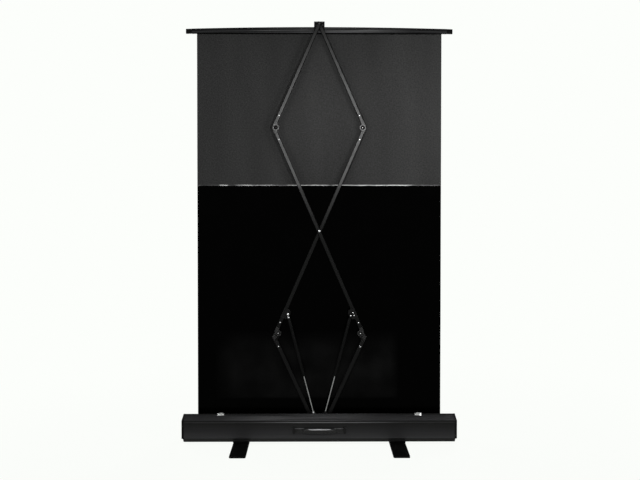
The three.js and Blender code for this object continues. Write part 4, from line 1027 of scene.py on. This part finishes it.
def knuckle(node, arm, pivot, axis, along, near, knee=False):
    """A knuckle casting: half of its depth laps the other arm's eye, and the rest is full."""
    offset = axis - pivot.x
    tongue_half, tongue_deep, tongue_run = 7.5, 2.5, 45
    reach = (SETBACK if knee else KNUCKLE) - FIT
    half = ARM_DEPTH / 2
    hole = circle(pivot.x, pivot.y, PIN_HOLE, 24)
    lap = (-half, -FIT / 2) if near else (FIT / 2, half)
    rest = (-FIT / 2, half) if near else (-half, FIT / 2)
    place = in_arm(arm)
    plate = prism([eye_outline(pivot, offset, reach, along, knee), hole], *lap, 1.6, place)
    start = 0 if knee else EYE + 1.2
    block = prism([block_outline(pivot, offset, reach, along, start)], *rest, 1.6, place)
    tongue_low, tongue_high = sorted((pivot.y + along * reach, pivot.y + along * (reach + tongue_run)))
    section = rounded(rectangle(axis - tongue_half, axis + tongue_half, -tongue_deep, tongue_deep), 1)
    tongue = prism([section], tongue_low, tongue_high, 0.3, along_arm(arm))
    eye = in_arm(arm)(pivot.x, pivot.y, 0)
    outside = lambda p: (p.x - eye[0]) ** 2 + (p.z - eye[2]) ** 2 > (EYE - 0.3) ** 2
    on_edge = lambda p: outside(p) and abs(across(arm, p) - axis) > ARM_WIDTH / 2 - ARM_ROUND - 0.1
    # The lower elbows' knuckles are one flat dark grey, not the arms' painted light and shade by height
    coat = KNUCKLE_DARK_GREY if knee or "lower" in node else KNUCKLE_COAT
    shape(node + "_casting", [plate, block, tongue], coat, arm.body, node, accents=[(ARM_EDGE, on_edge)])


def tube(node, arm, axis, low, high):
    """An arm's rectangular tube with round corners, between two places along the arm."""
    half, deep = ARM_WIDTH / 2, ARM_DEPTH / 2
    outer = rounded(rectangle(axis - half, axis + half, -deep, deep), ARM_ROUND, 4)
    inside = half - ARM_WALL
    bore = rectangle(axis - inside, axis + inside, ARM_WALL - deep, deep - ARM_WALL)
    inner = rounded(bore, ARM_ROUND - ARM_WALL, 2)
    # The flat faces take the painted light and shade by height, and the turned edges stay black
    on_edge = lambda p: abs(across(arm, p) - axis) > half - ARM_ROUND - 0.1
    solid = prism([outer, inner], low, high, 0.2, along_arm(arm), 8)
    shape(node + "_tube", [solid], ARM_COAT, arm.body, node, accents=[(ARM_EDGE, on_edge)])


def rivets(name, arm, places, finish, radius=3.0, height=1.2):
    """Domed rivet heads on an arm's near face, at places across and along it."""
    face = in_arm(arm, -ARM_DEPTH / 2)
    heads = [lathed(dome(radius, height), face(u, v, 0), (0, -1, 0), 24) for u, v in places]
    shape(name, heads, finish, arm.body)


def pivot_pin(node, body, place, low, high, head, cap, bright, washer=None):
    """A shouldered pin with a flange at each end and a domed middle on its near one.

    head and cap are the radii of the flanges and of the dome, and washer is where a spacing
    washer starts on the shank."""
    shank_radius, thick, washer_radius, washer_thick, dome_share = 4, 1.3, 9, 1.4, 0.4
    length = high - low
    seat = low - FIT - thick
    shank = [(0, 0), (0, shank_radius), (length, shank_radius), (length, 0)]
    flange = [(0, 0), (0, head - 0.5), (0.4, head), (1.1, head), (thick, head - 0.4), (thick, 0)]
    turned = [(thick - a, r) for a, r in reversed(flange)]
    solids = [lathed(shank, (place.x, low, place.y), (0, 1, 0))]
    solids.append(lathed(turned, (place.x, seat, place.y), (0, 1, 0)))
    solids.append(lathed(flange, (place.x, high + FIT, place.y), (0, 1, 0)))
    if washer:
        disc = [(0, 0), (0, washer_radius), (washer_thick, washer_radius), (washer_thick, 0)]
        solids.append(lathed(disc, (place.x, washer, place.y), (0, 1, 0)))
    shape(node + "_turned", solids, STEEL_BLACK, body, node)
    crown = lathed(dome(cap, cap * dome_share), (place.x, seat, place.y), (0, -1, 0), 28)
    shape(node + "_crown", [crown], bright, body)


def make_frame():
    """The scissor: in each layer a lower arm, a crossing arm and an upper arm, with their
    knuckles, rivets and pins."""
    rim_inner, rim_outer, rim_height, rim_sunk = 11.4, 14.7, 2.3, 1.4
    base, top = flat(joint_place("fold")), flat(joint_place("bar_level"))
    centre = flat(node_middle("centre_pin"))
    lower = {s: flat(joint_place("elbow_lower_" + s)) for s in SIDES}
    upper = {s: flat(joint_place("elbow_upper_" + s)) for s in SIDES}
    for side, sign in SIDES.items():
        other = "left" if side == "right" else "right"
        layer = OUTER_LAYER if side == "right" else INNER_LAYER
        cross_name = "cross_arm_front" if side == "right" else "cross_arm_back"
        cross_body = "cross_front" if side == "right" else "cross_back"
        low_arm = arm_of("lower_" + side, layer, base, lower[side], 0, sign * LOWER_OFFSET)
        mid_arm = arm_of(cross_body, layer, lower[side], upper[other], sign * CROSS_OFFSET,
                         -sign * UPPER_OFFSET)
        high_arm = arm_of("upper_" + other, layer, upper[other], top, -sign * UPPER_OFFSET, 0)
        start = Vector((0, 0))
        tube("lower_arm_" + side, low_arm, 0, -TUBE_OVERRUN, low_arm.end.y - SETBACK)
        knuckle("lower_arm_%s_knuckle" % side, low_arm, low_arm.end, 0, -1, False, True)
        tube(cross_name, mid_arm, mid_arm.axis, KNUCKLE, mid_arm.end.y - KNUCKLE)
        knuckle(cross_name + "_lower_knuckle", mid_arm, start, mid_arm.axis, 1, True)
        knuckle(cross_name + "_upper_knuckle", mid_arm, mid_arm.end, mid_arm.axis, -1, False)
        tube("upper_arm_" + other, high_arm, high_arm.axis, KNUCKLE, high_arm.end.y + TUBE_OVERRUN)
        knuckle("upper_arm_%s_knuckle" % other, high_arm, start, high_arm.axis, 1, True)
        rivets("lower_arm_rivet_" + side, low_arm, [(0, low_arm.end.y - RIVET_FAR)], ZINC)
        places = [(mid_arm.axis, RIVET_NEAR), (mid_arm.axis, mid_arm.end.y - RIVET_FAR)]
        rivets(cross_name + "_rivets", mid_arm, places, ZINC)
        rivets("upper_arm_rivet_" + other, high_arm, [(high_arm.axis, RIVET_FAR)], ZINC)
        near, far = layer - ARM_DEPTH / 2, layer + ARM_DEPTH / 2
        # Painted highlight on the upper elbows' rims, and painted shade on the lower ones
        for arm, spot, finish, name in ((mid_arm, lower[side], RIM_SHADE, "lower_elbow_rim_" + side),
                                        (high_arm, upper[other], RIM_HIGHLIGHT, "upper_elbow_rim_" + other)):
            rim = ring((spot.x, near + rim_sunk, spot.y), (0, -1, 0), rim_inner, rim_outer, rim_height)
            shape(name, [rim], finish, arm.body)
        # Painted shade: the left upper elbow's pin crown is drawn in dull grey steel, the right in zinc
        crown = STEEL_GREY if other == "left" else ZINC
        pivot_pin("lower_elbow_pin_" + side, mid_arm.body, lower[side], near, far, 7.5, 2.4, ZINC)
        pivot_pin("upper_elbow_pin_" + other, mid_arm.body, upper[other], near, far, 9.5, 1.8, crown)
    far = INNER_LAYER + ARM_DEPTH / 2
    near = OUTER_LAYER - ARM_DEPTH / 2
    washer = near + ARM_DEPTH + FIT
    pivot_pin("centre_pin", "cross_front", centre, near, far, 7.5, 5.0, ZINC, washer)
    # Painted shade: the top pin's crown is drawn in dull grey steel
    pivot_pin("top_pin", "top", top, near, BAR_REAR - FIT, 7.5, 5.0, STEEL_GREY, washer)
    dress("base_pivot_pin", ZINC, 0.3)
    dress("base_bracket", STEEL_BLACK, 0.6)
    make_struts(centre, lower)


def make_struts(centre, lower):
    """Gas struts from the lugs on the crossing arms down to the studs at the base. The profiles of
    the barrel, neck, rod, collar and ferrule are measured down the strut from its upper socket."""
    lug_along, lug_inward, socket_deep = 100.7, 10.4, 4.5
    barrel_start, barrel_length, barrel_radius, neck_radius, rod_radius = 14, 285, 7.5, 4.2, 3
    for side, sign in SIDES.items():
        along = (centre - lower[side]).normalized()
        inward = Vector((sign * -along.y, sign * along.x))
        top = lower[side] + along * lug_along + inward * lug_inward
        foot = Vector((sign * STUD_X, STUD_Z))
        way = (foot - top).normalized()
        whole = (foot - top).length
        down = Vector((way.x, 0, way.y))
        head = Vector((top.x, STRUT_Y, top.y))
        end, wide = barrel_start + barrel_length, barrel_radius
        barrel = [(barrel_start, 0), (barrel_start, 4.6), (15.5, 7.1), (17, wide), (end - 5, wide)]
        barrel += [(end - 3.5, 7.0), (end - 3, wide), (end - 0.6, wide), (end, 6.9), (end, 3.3)]
        barrel += [(end - 1, 3.3), (end - 1, 0)]
        socket = [(0, 0), (0, 6.4), (0.8, 7.6), (2.4, 8.4), (6.6, 8.4), (8.2, 7.6), (9, 6.4), (9, 0)]
        cup = lathed(socket, head + Vector((0, -socket_deep, 0)), (0, 1, 0))
        neck = lathed([(5, 0), (5, neck_radius), (15.5, neck_radius), (15.5, 0)], head, down)
        shape("gas_strut_barrel_" + side, [lathed(barrel, head, down), cup, neck], STRUT_BLACK,
              "strut_tube_" + side, "gas_strut_tube_" + side)
        clip_radius, clip_rise = (5.2, 4.8) if sign < 0 else (3.6, -2.6)
        clip = [lathed(dome(clip_radius, 2.4), head + Vector((0, -socket_deep, clip_rise)), (0, -1, 0))]
        if sign < 0:
            clip.append(lathed([(9, 0), (9, 4.9), (10, 5.3), (13, 5.3), (13.6, 4.9), (13.6, 0)], head, down))
        shape("strut_head_clip_" + side, clip, ZINC, "strut_tube_" + side)
        stem = [(end - 28, 0), (end - 28, 2.6), (end - 27, rod_radius)]
        stem += [(whole - 14, rod_radius), (whole - 14, 0)]
        rod = lathed(stem, head, down)
        base = Vector((foot.x, STRUT_Y, foot.y))
        shape("gas_strut_rod_ground_" + side, [rod], ROD_CHROME, "strut_rod_" + side, "gas_strut_rod_" + side)
        ball_cup = lathed(socket, base + Vector((0, -socket_deep, 0)), (0, 1, 0))
        collar = lathed([(whole - 14.5, 0), (whole - 14.5, 4.4), (whole - 6, 5.0), (whole - 5, 0)],
                        head, down)
        shape("strut_rod_socket_" + side, [ball_cup, collar], STEEL_BLACK, "strut_rod_" + side)
        if sign < 0:
            ferrule = [(whole - 13.5, 0), (whole - 13.5, 4.3), (whole - 13, 5.2), (whole - 7, 5.4)]
            ferrule += [(whole - 6.5, 4.6), (whole - 6.5, 0)]
            shape("strut_rod_ferrule_left", [lathed(ferrule, head, down)], ZINC, "strut_rod_" + side)
        dress("strut_lug_" + side, STEEL_BLACK, 0.5)
        # Painted shade: the right stud's button is drawn in black steel, the left in bright zinc
        button = lathed(dome(4.8, 2.6), base + Vector((0, -6.2, 0)), (0, -1, 0))
        shape("stud_button_" + side, [button], ZINC if sign < 0 else STEEL_BLACK, "root")
    face = OUTER_LAYER - ARM_DEPTH / 2 - FIT - 3
    rivet_places = [(159.6, 617.0), (164.6, 604.4)]
    heads = [lathed(dome(3.0, 1.4), (x, face, z), (0, -1, 0)) for x, z in rivet_places]
    shape("strut_lug_rivets_right", heads, ZINC, "cross_front")


# The top bar
def make_bar():
    """A bowed channel with a satin lower face, a groove and an eased top, open downwards. Its lower
    face carries a painted highlight, and the groove and eased top painted shade.
    """
    rear, front = BAR_REAR, BAR_REAR + BAR_DEPTH
    wall, groove, ease = 1.5, 0.9, 1.9
    outer = [(rear, 0), (rear, 4.4), (rear, 11.4), (rear + groove, 12.0), (rear + groove, 13.2)]
    outer += [(rear, 13.8), (rear, 18.6), (rear, 20.6), (rear + 0.6, 21.9), (rear + ease, BAR_HEIGHT)]
    outer += [(front - ease, BAR_HEIGHT), (front - 0.6, 21.9), (front, 20.6), (front, 17.6)]
    outer += [(front, 13.4), (front - groove, 12.8), (front - groove, 9.8), (front, 9.2), (front, 0)]
    roof = BAR_HEIGHT - wall
    inner = [(front - wall, 0), (front - wall, roof - 2), (front - wall - 2.4, roof)]
    inner += [(rear + wall + 2.4, roof), (rear + wall, roof - 2), (rear + wall, 0)]
    reach = BAR_HALF - BAR_CAP
    level = lambda p: p.z - BAR_END_Z - bow(p.x)
    # Painted highlight on the lower face, and painted shade in the groove and over the eased top
    lit = lambda p: p.y < rear + 0.3 and 4.6 < level(p) < 11.5
    dark = lambda p: p.y < rear + 1.2 and 11.5 < level(p) < 13.7 or level(p) > 18.7
    channel = prism([outer + inner], -reach, reach, 0, along_bar, 48)
    shape("top_bar_channel", [channel], BAR_BLACK, "top", "top_bar",
          accents=[(BAR_SHEEN, lit), (SHADE_BLACK, dark)])
    low, high = (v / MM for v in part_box("hem_batten"))
    section = [(low.y + 1.2, low.z), (high.y - 1.2, low.z), (high.y, low.z + 1.2), (high.y, high.z)]
    section += [(low.y, high.z), (low.y, low.z + 6.0), (low.y + 1.1, low.z + 5.2), (low.y + 1.1, low.z + 1.2)]
    # Painted shade on the batten's recessed lower strip
    hem = lambda p: p.z < low.z + 5.6
    batten = prism([section], low.x, high.x, 0.5, along_case)
    shape("hem_batten_extrusion", [batten], BATTEN_GREY, "top", "hem_batten", accents=[(SHADE_BLACK, hem)])
    for side, sign in SIDES.items():
        solids = []
        full = rounded(rectangle(rear, front, 0, BAR_HEIGHT), 4.0, 4)
        plug = rectangle(rear + 1.9, front - 1.9, 1, BAR_HEIGHT - 3.6)
        for section, start, end, edge in ((full, reach + FIT, BAR_HALF, 1.6),
                                          (plug, reach - 12, reach + 1.9, 0.3)):
            a, b = sorted((sign * start, sign * end))
            solids.append(prism([section], a, b, edge, along_bar, 1, 3))
        shape("top_bar_end_" + side, solids, CAP_BLACK, "top", "top_bar_cap_" + side)
    make_top_bracket()


def make_top_bracket():
    """The hanger over the bar's middle: a plate with two pressed lips, and a saddle behind."""
    low, high = (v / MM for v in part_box("top_bracket"))
    top = flat(joint_place("bar_level"))
    plate_y, thick = 3.4, 2.8
    half = high.x
    hole = circle(top.x, top.y, PIN_HOLE, 24)
    face = rounded(rectangle(-half, half, low.z, high.z), 1.2, 3)
    plate = prism([face, hole], plate_y, plate_y + thick, 0.5)
    saddle_z = BAR_END_Z + BAR_HEIGHT + BAR_BOW + FIT
    saddle_top = saddle_z + thick
    bridge = prism([rectangle(plate_y + 2.7, high.y, saddle_z, saddle_top)], -half, half, 0.3, along_case)
    hanging = rounded(rectangle(-half, half, low.z, saddle_top), 2, 3)
    apron = prism([hanging], high.y - thick, high.y, 0.5)
    shape("top_bracket_pressing", [plate, bridge, apron], STEEL_BLACK, "top", "top_bracket")
    lower_lip, upper_lip = rectangle(-19, 19, 1976.6, 1980.8), rectangle(-20, 20, 1990.6, 1993.4)
    sunk = plate_y + 0.2
    lips = [prism([rounded(lower_lip, 1.6, 3)], plate_y - 1.4, sunk, 0.5)]
    lips.append(prism([rounded(upper_lip, 1.2, 3)], plate_y - 1.2, sunk, 0.4))
    shape("top_bracket_lips", lips, STEEL_GREY, "top")


# The stage
BACKDROP = "#fcfefb"
FLOOR_HALF = 30


def make_camera():
    data = bpy.data.cameras.new("camera")
    data.lens, data.sensor_width, data.clip_end = 44.87, 36, 60
    data.shift_y = -0.045
    camera = bpy.data.objects.new("camera", data)
    camera.location = Vector((-23.2, -3787.0, 1176.5)) * MM
    camera.rotation_euler = Euler([math.radians(a) for a in (90 - 1.18, -0.016, -0.399)], "XYZ")
    bpy.context.scene.collection.objects.link(camera)
    bpy.context.scene.camera = camera


def lamp(name, place, target, size, power, spread=180):
    """An oblong lamp that looks at a target and that the camera doesn't see."""
    data = bpy.data.lights.new(name, "AREA")
    data.shape, data.energy = "RECTANGLE", power
    data.size, data.size_y = size
    data.spread = math.radians(spread)
    made = bpy.data.objects.new(name, data)
    made.visible_camera = False
    made.location = place
    made.rotation_euler = (Vector(target) - Vector(place)).to_track_quat("-Z", "Y").to_euler()
    bpy.context.scene.collection.objects.link(made)


def seen(tree):
    """1 for rays that show the background, straight, in gloss or through something clear."""
    rays = add(tree, "LightPath")
    straight, glossy = (rays, "Is Camera Ray"), (rays, "Is Glossy Ray")
    first = add(tree, "Math", {"operation": "MAXIMUM"}, {0: straight, 1: glossy})
    return add(tree, "Math", {"operation": "MAXIMUM"}, {0: first, 1: (rays, "Is Transmission Ray")})


def make_floor():
    """A pale floor that runs into the white background a few steps away from the object, and
    keeps its soft shadow. Its size is in metres."""
    mesh = bpy.data.meshes.new("floor")
    corners = [(u, v, 0) for u, v in rectangle(-FLOOR_HALF, FLOOR_HALF, -FLOOR_HALF, FLOOR_HALF)]
    mesh.from_pydata(corners, [], [(0, 1, 2, 3)])
    floor = bpy.data.objects.new("floor", mesh)
    bpy.context.scene.collection.objects.link(floor)
    matte = {"Roughness": 0.9, "Specular IOR Level": 0.0}
    made, tree, shader = material("plain_pale_floor", "#f2f4f1", matte)
    place = add(tree, "TexCoord")
    away = add(tree, "VectorMath", {"operation": "LENGTH"}, {0: (place, "Object")})
    share = add(tree, "MapRange", {"From Min": 0.4, "From Max": 2.2, "To Min": 0.95}, {"Value": (away, 1)})
    glow = add(tree, "Emission", {"Color": linear(BACKDROP), "Strength": 1.0})
    amount = add(tree, "Math", {"operation": "MULTIPLY"}, {0: seen(tree), 1: share})
    mix = add(tree, "MixShader", (), {0: amount, 1: shader, 2: glow})
    feed(tree, tree.nodes["Material Output"], {"Surface": mix})
    mesh.materials.append(made)


def make_world():
    world = bpy.data.worlds.new("studio")
    bpy.context.scene.world = world
    world.use_nodes = True
    tree = world.node_tree
    tree.nodes.clear()
    strength = add(tree, "MapRange", {"To Min": 0.14, "To Max": 1.0}, {"Value": seen(tree)})
    backdrop = add(tree, "Background", {"Color": linear(BACKDROP)}, {"Strength": strength})
    add(tree, "OutputWorld", (), {"Surface": backdrop}).is_active_output = True


make_camera()
make_case()
make_feet()
make_handle()
make_catches()
make_fabric()
make_roller()
make_frame()
make_bar()
make_floor()
make_world()
lamp("centre_strip", (0.06, -0.55, 1.53), (0.06, 0, 1.53), (0.06, 0.15), 1.9)
lamp("rear_right", (1.15, -0.8, 1.46), (0.3, 0, 1.45), (0.4, 0.7), 8.4)
lamp("rear_left", (-1.15, -0.95, 1.4), (-0.3, 0, 1.4), (0.4, 0.7), 4.2)
lamp("case_lamp", (0.0, -1.9, 1.6), (0, 0, 0.08), (1.2, 0.5), 3.2, 50)
lamp("front_key", (1.6, 2.8, 2.4), (0, 0, 1.2), (1.6, 1.6), 72)
lamp("front_fill", (-2.4, 2.2, 1.4), (0, 0, 0.9), (1.6, 1.6), 50)
bpy.context.scene.view_settings.view_transform = "Standard"
